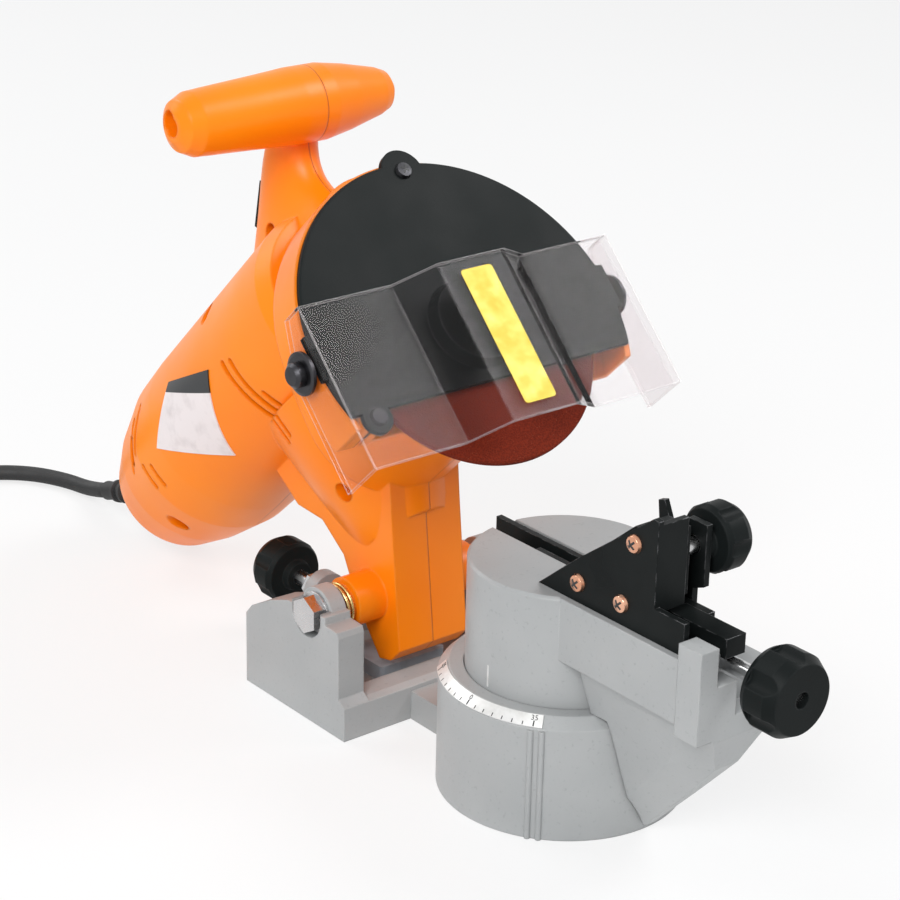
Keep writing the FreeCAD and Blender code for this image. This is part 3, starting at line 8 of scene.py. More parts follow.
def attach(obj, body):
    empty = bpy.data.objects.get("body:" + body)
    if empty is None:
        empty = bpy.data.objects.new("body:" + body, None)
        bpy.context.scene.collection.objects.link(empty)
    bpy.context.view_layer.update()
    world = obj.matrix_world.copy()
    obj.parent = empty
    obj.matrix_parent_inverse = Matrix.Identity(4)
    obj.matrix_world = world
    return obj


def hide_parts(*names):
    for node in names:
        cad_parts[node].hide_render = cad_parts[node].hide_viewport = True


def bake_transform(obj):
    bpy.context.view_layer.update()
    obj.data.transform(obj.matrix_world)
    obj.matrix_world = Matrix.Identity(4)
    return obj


# %% [markdown]
# # An electric chainsaw sharpener, dressed for its picture
#
# The real object is a small bench grinder: an orange motor head that tilts down on a grey cast bracket,
# with a thin red wheel behind a black guard and a folded clear visor. In front of it a chain vise turns
# on a cast ring. Its solids come from a parametric model. This lesson gives them finishes, adds the
# small pieces that a drawing leaves out, lays the mains lead on the bench and sets the lights.

# %% Load the frame
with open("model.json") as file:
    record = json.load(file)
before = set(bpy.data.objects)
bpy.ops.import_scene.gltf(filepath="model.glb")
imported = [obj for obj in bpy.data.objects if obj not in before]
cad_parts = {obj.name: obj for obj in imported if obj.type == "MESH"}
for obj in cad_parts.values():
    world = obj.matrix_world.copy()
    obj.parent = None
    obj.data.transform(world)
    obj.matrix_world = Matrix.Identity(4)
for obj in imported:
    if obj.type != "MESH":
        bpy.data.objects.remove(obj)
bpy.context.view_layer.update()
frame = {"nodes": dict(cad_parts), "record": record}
nodes = frame["nodes"]

# %% [markdown]
# ## The camera
#
# The picture was taken from the front left and a little above, with a long lens, so that upright edges
# stay nearly upright. A camera could be aimed by hand with a constraint, but its place was worked out
# from known sizes, so its three axes are written out as a matrix instead: that repeats to the pixel.

# %% The camera
yaw, pitch, roll = (math.radians(angle) for angle in (-39.51, 22.21, 1.31))
camera_back = Vector((math.sin(yaw) * math.cos(pitch), -math.cos(yaw) * math.cos(pitch), math.sin(pitch)))
level_right = Vector((math.cos(yaw), math.sin(yaw), 0))
level_up = camera_back.cross(level_right)
camera_right = level_right * math.cos(roll) + level_up * math.sin(roll)
camera_up = level_up * math.cos(roll) - level_right * math.sin(roll)
lens = bpy.data.cameras.new("long_lens")
lens.lens = 104.84
lens.sensor_width = 36
lens.clip_end = 20
camera = bpy.data.objects.new("camera", lens)
bpy.context.scene.collection.objects.link(camera)
axes = Matrix((camera_right, camera_up, camera_back)).transposed().to_4x4()
camera.matrix_world = Matrix.Translation((-0.5801, -0.7289, 0.4813)) @ axes
bpy.context.scene.camera = camera
print("camera", [round(v, 3) for v in camera.location], "lens", lens.lens)

# %% [markdown]
# ## The mains lead
#
# A mains lead is one length of round flex, about 1.6 m on such a tool. It leaves a ribbed relief in the
# tail, comes down to the bench and lies there in loose bends. What the picture doesn't show is put away
# in a flat coil of two layers behind the tool. A NURBS curve pulls smoothly past its control points as
# a springy flex does, so a few points are enough for the bends, and two dozen a turn for the coil.

# %% The lead's route
lead_radius = 0.0035
lead_rest = 0.0036
free_points = [(0, 0.2192, 0.0082), (0, 0.233, lead_rest), (-0.0035, 0.250, lead_rest),
               (-0.013, 0.268, lead_rest), (-0.030, 0.281, lead_rest), (-0.055, 0.287, lead_rest),
               (-0.082, 0.290, lead_rest), (-0.108, 0.300, lead_rest)]
route = [Vector(point) for point in free_points]
heading = (route[-1] - route[-2]).normalized()
coil_outer, coil_step, coil_lift, turns_each_way, climb_turns = 0.050, 0.0086, 0.0086, 3, 0.5
first_angle = math.atan2(heading.x, -heading.y)
coil_centre = route[-1] - Vector((math.cos(first_angle), math.sin(first_angle), 0)) * coil_outer
points_a_turn = 24


def coil_point(turn):
    """A point of the put-away coil: three turns in, a short climb, three turns out on top."""
    if turn <= turns_each_way:
        size, lift = coil_outer - coil_step * turn, 0
    elif turn <= turns_each_way + climb_turns:
        share = (turn - turns_each_way) / climb_turns
        size, lift = coil_outer - coil_step * turns_each_way, coil_lift * (3 * share ** 2 - 2 * share ** 3)
    else:
        size = coil_outer - coil_step * (2 * turns_each_way + climb_turns - turn)
        lift = coil_lift
    angle = first_angle - 2 * math.pi * turn
    return coil_centre + Vector((math.cos(angle) * size, math.sin(angle) * size, lift))


all_turns = 2 * turns_each_way + climb_turns
for index in range(1, int(all_turns * points_a_turn) + 1):
    route.append(coil_point(index / points_a_turn))
last_angle = first_angle - 2 * math.pi * all_turns
plug_way = Vector((math.sin(last_angle), -math.cos(last_angle), 0))
route.append(route[-1] + plug_way * 2 * lead_radius)
print(len(route), "points on the lead's route")

# %% The lead's line
line_data = bpy.data.curves.new("lead_line", "CURVE")
line_data.dimensions = "3D"
line_data.resolution_u = 6
spline = line_data.splines.new("NURBS")
spline.points.add(len(route) - 1)
for point, spot in zip(spline.points, route):
    point.co = (*spot, 1)
spline.order_u = 3
spline.use_endpoint_u = True
line = bpy.data.objects.new("lead_line", line_data)
line_mesh = bpy.data.meshes.new_from_object(line)
lead_path = [vertex.co.copy() for vertex in line_mesh.vertices]
bpy.data.meshes.remove(line_mesh)
bpy.data.objects.remove(line)

# %% [markdown]
# ## Building meshes
#
# The lead is a tube round a line: rings of points joined by four-sided faces. Small helpers make it and
# the other added pieces as plain mesh data. That keeps every size in the code, and needs none of the
# operators that depend on what is selected.

# %% Mesh helpers
def add_mesh(name, points, faces, smooth=True):
    """A mesh object made of points and faces, in the scene."""
    mesh = bpy.data.meshes.new(name)
    mesh.from_pydata([tuple(point) for point in points], [], faces)
    mesh.validate()
    mesh.update()
    mesh.polygons.foreach_set("use_smooth", [smooth] * len(mesh.polygons))
    piece = bpy.data.objects.new(name, mesh)
    bpy.context.scene.collection.objects.link(piece)
    return piece


def ring_faces(rings, sides):
    """Four-sided faces between rings, and a face that closes each end."""
    faces = [list(range(sides))[::-1]]
    for ring in range(rings - 1):
        for side in range(sides):
            first, second = ring * sides + side, ring * sides + (side + 1) % sides
            faces.append([first, second, second + sides, first + sides])
    faces.append([(rings - 1) * sides + side for side in range(sides)])
    return faces


def tube(name, path, radius, sides=16):
    """A round tube that follows a path without twisting."""
    points = []
    way = (path[1] - path[0]).normalized()
    across = way.orthogonal().normalized()
    for index, spot in enumerate(path):
        ahead = path[min(index + 1, len(path) - 1)] - path[max(index - 1, 0)]
        way = ahead.normalized()
        across = (across - way * across.dot(way)).normalized()
        over = way.cross(across)
        for side in range(sides):
            angle = 2 * math.pi * side / sides
            points.append(spot + (across * math.cos(angle) + over * math.sin(angle)) * radius)
    return add_mesh(name, points, ring_faces(len(path), sides))


# %% [markdown]
# ## The lead's own mesh
#
# The relief tips with the head and the coil stays on the bench, so the flex has to bend between them.
# A mesh tube can be blended between two bodies point by point, which a curve object can't, so the
# tube follows the curve's line closely.

# %% The lead
lead = tube("mains_lead", lead_path, lead_radius)
print("lead has", len(lead.data.vertices), "points")

# %% [markdown]
# ## Finishes
#
# Every finish is made of nodes, so it needs no pictures and works at any size. The same few
# ingredients come back: a noise that shifts the colour a little, a noise that makes the gloss uneven,
# a fine relief for the grain, and a mask that finds the edges, where paint and plastic wear first.

# %% Finish helpers
def new_finish(name, roughness, metallic=0.0):
    """A material with one shader, and the coordinates of the object it is on."""
    material = bpy.data.materials.new(name)
    material.use_nodes = True
    tree = material.node_tree
    shader = tree.nodes["Principled BSDF"]
    shader.inputs["Roughness"].default_value = roughness
    shader.inputs["Metallic"].default_value = metallic
    place = tree.nodes.new("ShaderNodeTexCoord").outputs["Object"]
    return material, tree, shader, place


def speckle(tree, place, scale, detail=2.0, stretch=None):
    """A noise from 0 to 1. Stretch draws it out along an axis, as brushing does."""
    if stretch is not None:
        mapping = tree.nodes.new("ShaderNodeMapping")
        mapping.inputs["Scale"].default_value = stretch
        tree.links.new(place, mapping.inputs["Vector"])
        place = mapping.outputs["Vector"]
    noise = tree.nodes.new("ShaderNodeTexNoise")
    noise.inputs["Scale"].default_value = scale
    noise.inputs["Detail"].default_value = detail
    tree.links.new(place, noise.inputs["Vector"])
    return noise.outputs["Fac"]


def span(tree, value, from_low, from_high, to_low, to_high):
    """Maps one range of values to another, and keeps it inside."""
    node = tree.nodes.new("ShaderNodeMapRange")
    limits = {"From Min": from_low, "From Max": from_high, "To Min": to_low, "To Max": to_high}
    for name, number in limits.items():
        node.inputs[name].default_value = number
    tree.links.new(value, node.inputs["Value"])
    return node.outputs["Result"]


def mixed(tree, share, first, second):
    """A colour between two others, each a colour or another node's output."""
    node = tree.nodes.new("ShaderNodeMix")
    node.data_type = "RGBA"
    for socket, colour in ((node.inputs["A"], first), (node.inputs["B"], second)):
        if isinstance(colour, tuple):
            socket.default_value = (*colour, 1)
        else:
            tree.links.new(colour, socket)
    tree.links.new(share, node.inputs["Factor"])
    return node.outputs["Result"]


def maths(tree, operation, first, second=0.0, third=0.0):
    """One step of arithmetic on numbers or outputs."""
    node = tree.nodes.new("ShaderNodeMath")
    node.operation = operation
    for socket, value in zip(node.inputs, (first, second, third)):
        if isinstance(value, (int, float)):
            socket.default_value = value
        else:
            tree.links.new(value, socket)
    return node.outputs["Value"]


def soft_edges(tree, radius):
    """The surface's direction with its edges rounded off."""
    bevel = tree.nodes.new("ShaderNodeBevel")
    bevel.samples = 4
    bevel.inputs["Radius"].default_value = radius
    return bevel.outputs["Normal"]


def edge_mask(tree, rounded):
    """1 along an edge and 0 on the flat."""
    geometry = tree.nodes.new("ShaderNodeNewGeometry")
    product = tree.nodes.new("ShaderNodeVectorMath")
    product.operation = "DOT_PRODUCT"
    tree.links.new(rounded, product.inputs[0])
    tree.links.new(geometry.outputs["Normal"], product.inputs[1])
    return span(tree, product.outputs["Value"], 0.82, 0.995, 1.0, 0.0)


def relief(tree, shader, height, depth, strength, rounded=None):
    """Raises the surface by a height from 0 to 1, depth metres at the most."""
    bump = tree.nodes.new("ShaderNodeBump")
    bump.inputs["Distance"].default_value = depth
    bump.inputs["Strength"].default_value = strength
    tree.links.new(height, bump.inputs["Height"])
    if rounded is not None:
        tree.links.new(rounded, bump.inputs["Normal"])
    tree.links.new(bump.outputs["Normal"], shader.inputs["Normal"])


# %% [markdown]
# ## Cast parts
#
# The bracket, the ring and the vise are castings under a light grey paint. The paint is a little uneven,
# its gloss varies where hands have been, and along the edges it is thin and paler. Two noises do this:
# a broad one for the colour, and a fine one for the orange-peel skin that sprayed paint has.

# %% Grey paint on castings
def cast_paint():
    material, tree, shader, place = new_finish("cast_grey", 0.42)
    broad = speckle(tree, place, 22, 3)
    grain = speckle(tree, place, 620, 3)
    rounded = soft_edges(tree, 0.0009)
    patches = span(tree, speckle(tree, place, 90), 0.4, 0.6, 0.2, 1)
    worn = maths(tree, "MULTIPLY", edge_mask(tree, rounded), patches)
    body = mixed(tree, span(tree, broad, 0.3, 0.7, 0, 1), (0.36, 0.372, 0.375), (0.42, 0.43, 0.43))
    flecked = mixed(tree, span(tree, grain, 0.62, 0.72, 0, 0.35), body, (0.24, 0.25, 0.255))
    colour = mixed(tree, maths(tree, "MULTIPLY", worn, 0.5), flecked, (0.66, 0.66, 0.65))
    tree.links.new(colour, shader.inputs["Base Color"])
    tree.links.new(span(tree, broad, 0.3, 0.7, 0.36, 0.50), shader.inputs["Roughness"])
    relief(tree, shader, grain, 0.0002, 0.35, rounded)
    return material


finishes = {"cast_grey": cast_paint()}
print("made", finishes["cast_grey"].name)

# %% [markdown]
# ## Orange plastic
#
# The housing is glass-filled nylon, orange all through, with a half gloss from the mould's skin. A
# strong orange holds almost no blue, so the colour has next to none, and its shadows stay warm. The
# two halves meet in the middle plane, and a fine dark line there shows the joint.

# %% Orange plastic
def orange_plastic():
    material, tree, shader, place = new_finish("orange_shell", 0.34)
    broad = speckle(tree, place, 14, 2)
    skin = speckle(tree, place, 1500, 2)
    rounded = soft_edges(tree, 0.0014)
    patches = span(tree, speckle(tree, place, 70), 0.4, 0.65, 0, 1)
    worn = maths(tree, "MULTIPLY", edge_mask(tree, rounded), patches)
    body = mixed(tree, span(tree, broad, 0.3, 0.7, 0, 1), (0.96, 0.215, 0.0015), (1.0, 0.265, 0.003))
    axes_of = tree.nodes.new("ShaderNodeSeparateXYZ")
    tree.links.new(place, axes_of.inputs["Vector"])
    seam = span(tree, maths(tree, "ABSOLUTE", axes_of.outputs["X"]), 0.00012, 0.00035, 1, 0)
    jointed = mixed(tree, maths(tree, "MULTIPLY", seam, 0.55), body, (0.35, 0.03, 0.002))
    colour = mixed(tree, maths(tree, "MULTIPLY", worn, 0.3), jointed, (1.0, 0.42, 0.06))
    tree.links.new(colour, shader.inputs["Base Color"])
    tree.links.new(span(tree, speckle(tree, place, 35), 0.3, 0.7, 0.29, 0.40), shader.inputs["Roughness"])
    shader.inputs["Specular IOR Level"].default_value = 0.3
    relief(tree, shader, skin, 0.00008, 0.25, rounded)
    return material


finishes["orange_shell"] = orange_plastic()
print("made", finishes["orange_shell"].name)

# %% [markdown]
# ## Black parts
#
# Three blacks are told apart by their surface. The guard and the knobs are moulded with a fine matt
# grain, the chain clamp is steel under a smooth black paint that has worn to metal at its edges, and
# the lead and the belt are rubber, dull and faintly dusty. None is pure black, which would look cut out.
# The plug is one solid with its pins, so its rubber turns to metal beyond the plug's face.

# %% Black moulding, black paint and rubber
def black_moulding():
    material, tree, shader, place = new_finish("black_moulding", 0.42)
    skin = speckle(tree, place, 1300, 2)
    broad = speckle(tree, place, 30, 2)
    rounded = soft_edges(tree, 0.0009)
    worn = edge_mask(tree, rounded)
    body = mixed(tree, span(tree, broad, 0.3, 0.7, 0, 1), (0.006, 0.0078, 0.0078), (0.010, 0.0125, 0.0125))
    colour = mixed(tree, maths(tree, "MULTIPLY", worn, 0.35), body, (0.05, 0.055, 0.056))
    tree.links.new(colour, shader.inputs["Base Color"])
    shader.inputs["Specular IOR Level"].default_value = 0.07
    tree.links.new(span(tree, broad, 0.3, 0.7, 0.34, 0.48), shader.inputs["Roughness"])
    relief(tree, shader, skin, 0.0001, 0.3, rounded)
    return material


def black_paint():
    material, tree, shader, place = new_finish("black_metal", 0.32)
    broad = speckle(tree, place, 40, 3)
    rounded = soft_edges(tree, 0.0005)
    patches = span(tree, speckle(tree, place, 240), 0.45, 0.6, 0, 1)
    worn = maths(tree, "MULTIPLY", edge_mask(tree, rounded), patches)
    body = mixed(tree, span(tree, broad, 0.3, 0.7, 0, 1), (0.006, 0.0075, 0.0075), (0.011, 0.013, 0.013))
    colour = mixed(tree, maths(tree, "MULTIPLY", worn, 0.6), body, (0.28, 0.28, 0.29))
    tree.links.new(colour, shader.inputs["Base Color"])
    shader.inputs["Specular IOR Level"].default_value = 0.07
    tree.links.new(maths(tree, "MULTIPLY", worn, 0.5), shader.inputs["Metallic"])
    tree.links.new(span(tree, broad, 0.3, 0.7, 0.26, 0.40), shader.inputs["Roughness"])
    relief(tree, shader, speckle(tree, place, 500, 2), 0.00008, 0.25, rounded)
    return material


def rubber():
    material, tree, shader, place = new_finish("black_rubber", 0.62)
    dust = speckle(tree, place, 120, 4)
    colour = mixed(tree, span(tree, dust, 0.55, 0.75, 0, 0.5), (0.012, 0.0125, 0.013), (0.05, 0.05, 0.048))
    tree.links.new(colour, shader.inputs["Base Color"])
    tree.links.new(span(tree, dust, 0.3, 0.7, 0.55, 0.70), shader.inputs["Roughness"])
    relief(tree, shader, speckle(tree, place, 900, 2), 0.0001, 0.3)
    return material


finishes["black_moulding"] = black_moulding()
finishes["black_metal"] = black_paint()
finishes["black_rubber"] = rubber()


def plug_rubber():
    """Rubber up to the plug's face, and bare metal beyond it, where the pins are."""
    material = rubber()
    material.name = "plug_rubber"
    tree = material.node_tree
    shader = tree.nodes["Principled BSDF"]
    place = tree.nodes.new("ShaderNodeTexCoord").outputs["Object"]
    reach = tree.nodes.new("ShaderNodeVectorMath")
    reach.operation = "DOT_PRODUCT"
    tree.links.new(place, reach.inputs[0])
    reach.inputs[1].default_value = plug_way
    face = route[-1].dot(plug_way) + 0.0441
    pins = span(tree, reach.outputs["Value"], face, face + 0.0001, 0, 1)
    dull = shader.inputs["Base Color"].links[0].from_socket
    tree.links.new(mixed(tree, pins, dull, (0.62, 0.60, 0.55)), shader.inputs["Base Color"])
    tree.links.new(pins, shader.inputs["Metallic"])
    tree.links.new(span(tree, pins, 0, 1, 0.62, 0.25), shader.inputs["Roughness"])
    return material


finishes["plug_rubber"] = plug_rubber()
print(len(finishes), "finishes so far")

# %% [markdown]
# ## Bright and coloured metals
#
# Screws and shafts are zinc plated, with fine turning marks round them. The same recipe with another
# colour gives the coppery clamp screws, the blackened housing screws, the golden spring and the motor's
# copper wire, so one function makes them all and each metal is only a row of numbers.

# %% Metals
def metal(name, dark, light, roughness, mark_scale, stretch, depth=0.00003):
    material, tree, shader, place = new_finish(name, roughness, 1.0)
    marks = speckle(tree, place, mark_scale, 3, stretch)
    rounded = soft_edges(tree, 0.0004)
    colour = mixed(tree, span(tree, speckle(tree, place, 60, 3), 0.3, 0.7, 0, 1), dark, light)
    tree.links.new(colour, shader.inputs["Base Color"])
    tree.links.new(span(tree, marks, 0.3, 0.7, roughness - 0.07, roughness + 0.10), shader.inputs["Roughness"])
    relief(tree, shader, marks, depth, 0.3, rounded)
    return material


finishes["bright_steel"] = metal("bright_steel", (0.50, 0.50, 0.51), (0.66, 0.66, 0.66), 0.24, 500, (1, 0.15, 1))
finishes["copper_screws"] = metal("copper_screws", (0.66, 0.32, 0.20), (0.90, 0.52, 0.36), 0.22, 400, (1, 1, 1))
finishes["dark_screws"] = metal("dark_screws", (0.045, 0.045, 0.05), (0.09, 0.09, 0.095), 0.34, 400, (1, 1, 1))
finishes["spring_brass"] = metal("spring_brass", (0.55, 0.38, 0.14), (0.72, 0.54, 0.24), 0.26, 700, (1, 1, 1))
finishes["core_steel"] = metal("core_steel", (0.20, 0.20, 0.21), (0.32, 0.32, 0.33), 0.42, 900, (0.05, 1, 1))
finishes["copper_wire"] = metal("copper_wire", (0.42, 0.13, 0.05), (0.66, 0.27, 0.11), 0.30, 900, (1, 0.2, 1))
print(len(finishes), "finishes so far")

# %% [markdown]
# ## Grinding wheel, labels and small pads
#
# The wheel is abrasive grit in a resin: a dark red brown with paler and darker grains, rough to the
# touch. A Voronoi texture gives grains with an edge, which a soft noise can't. The labels and the scale
# strip are printed foil, slightly yellowed and scuffed, and stay blank.

# %% Abrasive
def abrasive():
    material, tree, shader, place = new_finish("abrasive", 0.78)
    grains = tree.nodes.new("ShaderNodeTexVoronoi")
    grains.inputs["Scale"].default_value = 1400
    tree.links.new(place, grains.inputs["Vector"])
    tone = span(tree, grains.outputs["Distance"], 0.1, 0.7, 0, 1)
    body = mixed(tree, tone, (0.105, 0.010, 0.003), (0.19, 0.020, 0.006))
    glitter = speckle(tree, place, 2200, 1)
    colour = mixed(tree, span(tree, glitter, 0.70, 0.76, 0, 0.5), body, (0.42, 0.12, 0.06))
    tree.links.new(colour, shader.inputs["Base Color"])
    shader.inputs["Specular IOR Level"].default_value = 0.15
    relief(tree, shader, grains.outputs["Distance"], 0.0003, 0.6)
    return material


finishes["abrasive"] = abrasive()


# %% Printed foils, pads and carbon
def foil(name, colour, aged, roughness, metallic=0.0, scuff_scale=150):
    material, tree, shader, place = new_finish(name, roughness, metallic)
    scuffs = speckle(tree, place, scuff_scale, 4)
    tone = mixed(tree, span(tree, scuffs, 0.45, 0.75, 0, 1), colour, aged)
    tree.links.new(tone, shader.inputs["Base Color"])
    tree.links.new(span(tree, scuffs, 0.3, 0.7, roughness - 0.08, roughness + 0.12), shader.inputs["Roughness"])
    relief(tree, shader, speckle(tree, place, 700, 2), 0.00005, 0.25)
    return material


finishes["scale_strip"] = foil("scale_strip", (0.72, 0.72, 0.71), (0.52, 0.52, 0.50), 0.36, 0.35)
finishes["pale_pad"] = foil("pale_pad", (0.40, 0.45, 0.50), (0.30, 0.34, 0.38), 0.6)
finishes["carbon"] = foil("carbon", (0.03, 0.03, 0.03), (0.06, 0.06, 0.06), 0.7)
finishes["yellow_label"] = foil("yellow_label", (0.92, 0.66, 0.004), (0.80, 0.53, 0.01), 0.36)
# This black is the print of the scale's ticks and figures, and also painted shade in the screws' cross recesses.
finishes["ink_and_painted_shade"] = foil("ink_and_painted_shade", (0.012, 0.013, 0.014), (0.04, 0.04, 0.04), 0.45)
print(len(finishes), "finishes so far")

# %% [markdown]
# ## The rating label's finish
#
# The label on the barrel is white foil with a black band along its top. The band could be a piece of
# its own, but a label is one sheet, so the colour changes at a height in the material instead. That
# height slopes with the head's tilt. Nothing is printed in either field.

# %% Rating label
def rating_label():
    material, tree, shader, place = new_finish("blank_label", 0.32)
    axes_of = tree.nodes.new("ShaderNodeSeparateXYZ")
    tree.links.new(place, axes_of.inputs["Vector"])
    height = maths(tree, "MULTIPLY_ADD", axes_of.outputs["Y"], 0.3128, axes_of.outputs["Z"])
    scuffs = speckle(tree, place, 160, 4)
    paper = mixed(tree, span(tree, scuffs, 0.5, 0.75, 0, 1), (0.80, 0.74, 0.74), (0.68, 0.62, 0.62))
    band = span(tree, height, 0.1331, 0.1333, 0, 1)
    colour = mixed(tree, band, paper, (0.010, 0.012, 0.014))
    tree.links.new(colour, shader.inputs["Base Color"])
    relief(tree, shader, scuffs, 0.00005, 0.2)
    return material


finishes["blank_label"] = rating_label()
print("made", finishes["blank_label"].name)

# %% [markdown]
# ## The clear visor
#
# The visor is a 2 mm sheet of clear plastic, folded into a shallow nose. A glass shader would bend the
# light and throw a dark shadow, so the sheet is a clear shader under a thin gloss, and its cut edges are
# paler, because there light comes out that has run along inside the sheet.

# %% Clear sheet
def clear_sheet():
    material, tree, shader, place = new_finish("clear_sheet", 0.05)
    clear = tree.nodes.new("ShaderNodeBsdfTransparent")
    clear.inputs["Color"].default_value = (0.94, 0.925, 0.93, 1)
    shader.inputs["Base Color"].default_value = (0.80, 0.76, 0.76, 1)
    gloss = tree.nodes.new("ShaderNodeBsdfGlossy")
    gloss.inputs["Roughness"].default_value = 0.04
    fresnel = tree.nodes.new("ShaderNodeFresnel")
    fresnel.inputs["IOR"].default_value = 1.12
    glazed = tree.nodes.new("ShaderNodeMixShader")
    tree.links.new(fresnel.outputs["Fac"], glazed.inputs["Fac"])
    tree.links.new(clear.outputs["BSDF"], glazed.inputs[1])
    tree.links.new(gloss.outputs["BSDF"], glazed.inputs[2])
    smears = speckle(tree, place, 45, 4)
    haze = span(tree, smears, 0.3, 0.8, 0.003, 0.007)
    lit_edge = maths(tree, "MULTIPLY", edge_mask(tree, soft_edges(tree, 0.0007)), 0.55)
    surface = tree.nodes.new("ShaderNodeMixShader")
    tree.links.new(maths(tree, "MAXIMUM", haze, lit_edge), surface.inputs["Fac"])
    tree.links.new(glazed.outputs["Shader"], surface.inputs[1])
    tree.links.new(shader.outputs["BSDF"], surface.inputs[2])
    output = next(node for node in tree.nodes if node.type == "OUTPUT_MATERIAL")
    tree.links.new(surface.outputs["Shader"], output.inputs["Surface"])
    tree.links.new(span(tree, smears, 0.3, 0.7, 0.03, 0.10), shader.inputs["Roughness"])
    return material


finishes["clear_sheet"] = clear_sheet()
print(len(finishes), "finishes in all")

# %% [markdown]
# ## Each solid gets its finish
#
# The record that came with the solids names a finish for each of them. A lookup by that name dresses
# them all in one loop, and nothing can be forgotten: a name without a finish would stop the script.

# %% Dress the solids
def dress(piece, finish):
    """Puts a finish on a piece in place of what it had."""
    piece.data.materials.clear()
    piece.data.materials.append(finishes[finish])
    return piece


for part in frame["record"]["subparts"]:
    dress(nodes[part["node"]], part["material_slot"])
dress(nodes["mains_plug"], "plug_rubber")

# %% [markdown]
# ## Scale marks, an index line and a sticker
#
# Small printed things are thin sheets laid a hair above what carries them. The ticks and figures of the
# swing scale lie on the ring's bevel, so each is drawn flat first and then wrapped round the cone by a
# function that turns two flat lengths into a place on it. Figures are text turned into mesh.

# %% The swing scale
SCALE_LOW, SCALE_HIGH = Vector((0.04665, 0.0449)), Vector((0.04325, 0.0483))
TABLE = Vector((0, -0.0941, 0))


def on_bevel(angle, share, lift):
    """A place on the scale strip: an angle, a share of its width, and a height above it."""
    reach, level = SCALE_LOW.lerp(SCALE_HIGH, share)
    out = lift / math.sqrt(2)
    way = Vector((math.cos(angle), math.sin(angle), 0))
    return TABLE + way * (reach + out) + Vector((0, 0, level + out))


tick_points, tick_faces = [], []
for degrees in range(-35, 36, 5):
    middle_angle = math.radians(180 + degrees)
    half, top = (0.0056, 0.50) if degrees % 35 == 0 else (0.0040, 0.34)
    first = len(tick_points)
    for lift in (-0.00004, 0.00005):
        for share, side in ((0.06, -1), (0.06, 1), (top, 1), (top, -1)):
            tick_points.append(on_bevel(middle_angle + side * half, share, lift))
    quads = [(3, 2, 1, 0), (4, 5, 6, 7), (0, 1, 5, 4), (1, 2, 6, 5), (2, 3, 7, 6), (3, 0, 4, 7)]
    tick_faces += [[first + corner for corner in quad] for quad in quads]
ticks = dress(add_mesh("scale_ticks", tick_points, tick_faces, smooth=False), "ink_and_painted_shade")
print(len(tick_faces) // 6, "ticks")


# %% Its figures
def flat_text(word, height):
    """The points and faces of a word, drawn flat about its middle."""
    data = bpy.data.curves.new("word", "FONT")
    data.body = word
    data.size = height
    data.extrude = 0.00005
    data.resolution_u = 3
    data.align_x = "CENTER"
    data.align_y = "CENTER"
    carrier = bpy.data.objects.new("word", data)
    mesh = bpy.data.meshes.new_from_object(carrier)
    points = [vertex.co.copy() for vertex in mesh.vertices]
    faces = [list(face.vertices) for face in mesh.polygons]
    bpy.data.objects.remove(carrier)
    bpy.data.meshes.remove(mesh)
    return points, faces


strip_width = (SCALE_HIGH - SCALE_LOW).length
figure_points, figure_faces = [], []
for degrees, word in ((-35, "35"), (0, "0"), (35, "35")):
    points, faces = flat_text(word, 0.0027)
    first = len(figure_points)
    for point in points:
        angle = math.radians(180 + degrees) + point.x / SCALE_HIGH.x
        figure_points.append(on_bevel(angle, 0.70 + point.y / strip_width, point.z + 0.00003))
    figure_faces += [[first + corner for corner in face] for face in faces]
figures = dress(add_mesh("scale_figures", figure_points, figure_faces, smooth=False), "ink_and_painted_shade")
for piece in (ticks, figures):
    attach(piece, "bench_base")
print("figures have", len(figure_faces), "faces")


# %% Thin sheets
def head_point(across, station, level):
    """A point of the tilted head: across it, forward along the wheel axis and up the head."""
    tilt = math.radians(44.66)
    return Vector((across, -station * math.cos(tilt) + level * math.sin(tilt),
                   0.04433 + station * math.sin(tilt) + level * math.cos(tilt)))


def sheet(name, outline, start, across, up, thickness):
    """A flat sheet with the given outline, spanned by two directions, a thickness above its start."""
    across, up = Vector(across).normalized(), Vector(up).normalized()
    over = across.cross(up)
    count = len(outline)
    points = [Vector(start) + across * x + up * y + over * lift
              for lift in (0, thickness) for x, y in outline]
    faces = [list(range(count))[::-1], list(range(count, 2 * count))]
    faces += [[i, (i + 1) % count, (i + 1) % count + count, i + count] for i in range(count)]
    return add_mesh(name, points, faces, smooth=False)


def round_corners(width, height, radius, steps=6):
    """The outline of a rectangle about its middle, with round corners."""
    outline = []
    for corner, (x, y) in enumerate(((1, 1), (-1, 1), (-1, -1), (1, -1))):
        for step in range(steps + 1):
            angle = math.pi / 2 * (corner + step / steps)
            outline.append((x * (width / 2 - radius) + radius * math.cos(angle),
                            y * (height / 2 - radius) + radius * math.sin(angle)))
    return outline


head_up = head_point(0, 0, 1) - head_point(0, 0, 0)
sticker = sheet("visor_sticker", round_corners(0.0145, 0.055, 0.0015), head_point(-0.00075, 0.12605, 0.0455),
                (1, 0, 0), head_up, 0.00015)
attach(dress(sticker, "yellow_label"), "eye_visor")
index_line = sheet("index_line", round_corners(0.0009, 0.0085, 0.0003), (-0.03668, -0.0941, 0.0535),
                   (0, -1, 0), (0, 0, 1), 0.00012)
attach(dress(index_line, "scale_strip"), "vise")
print("sticker and index line laid on")
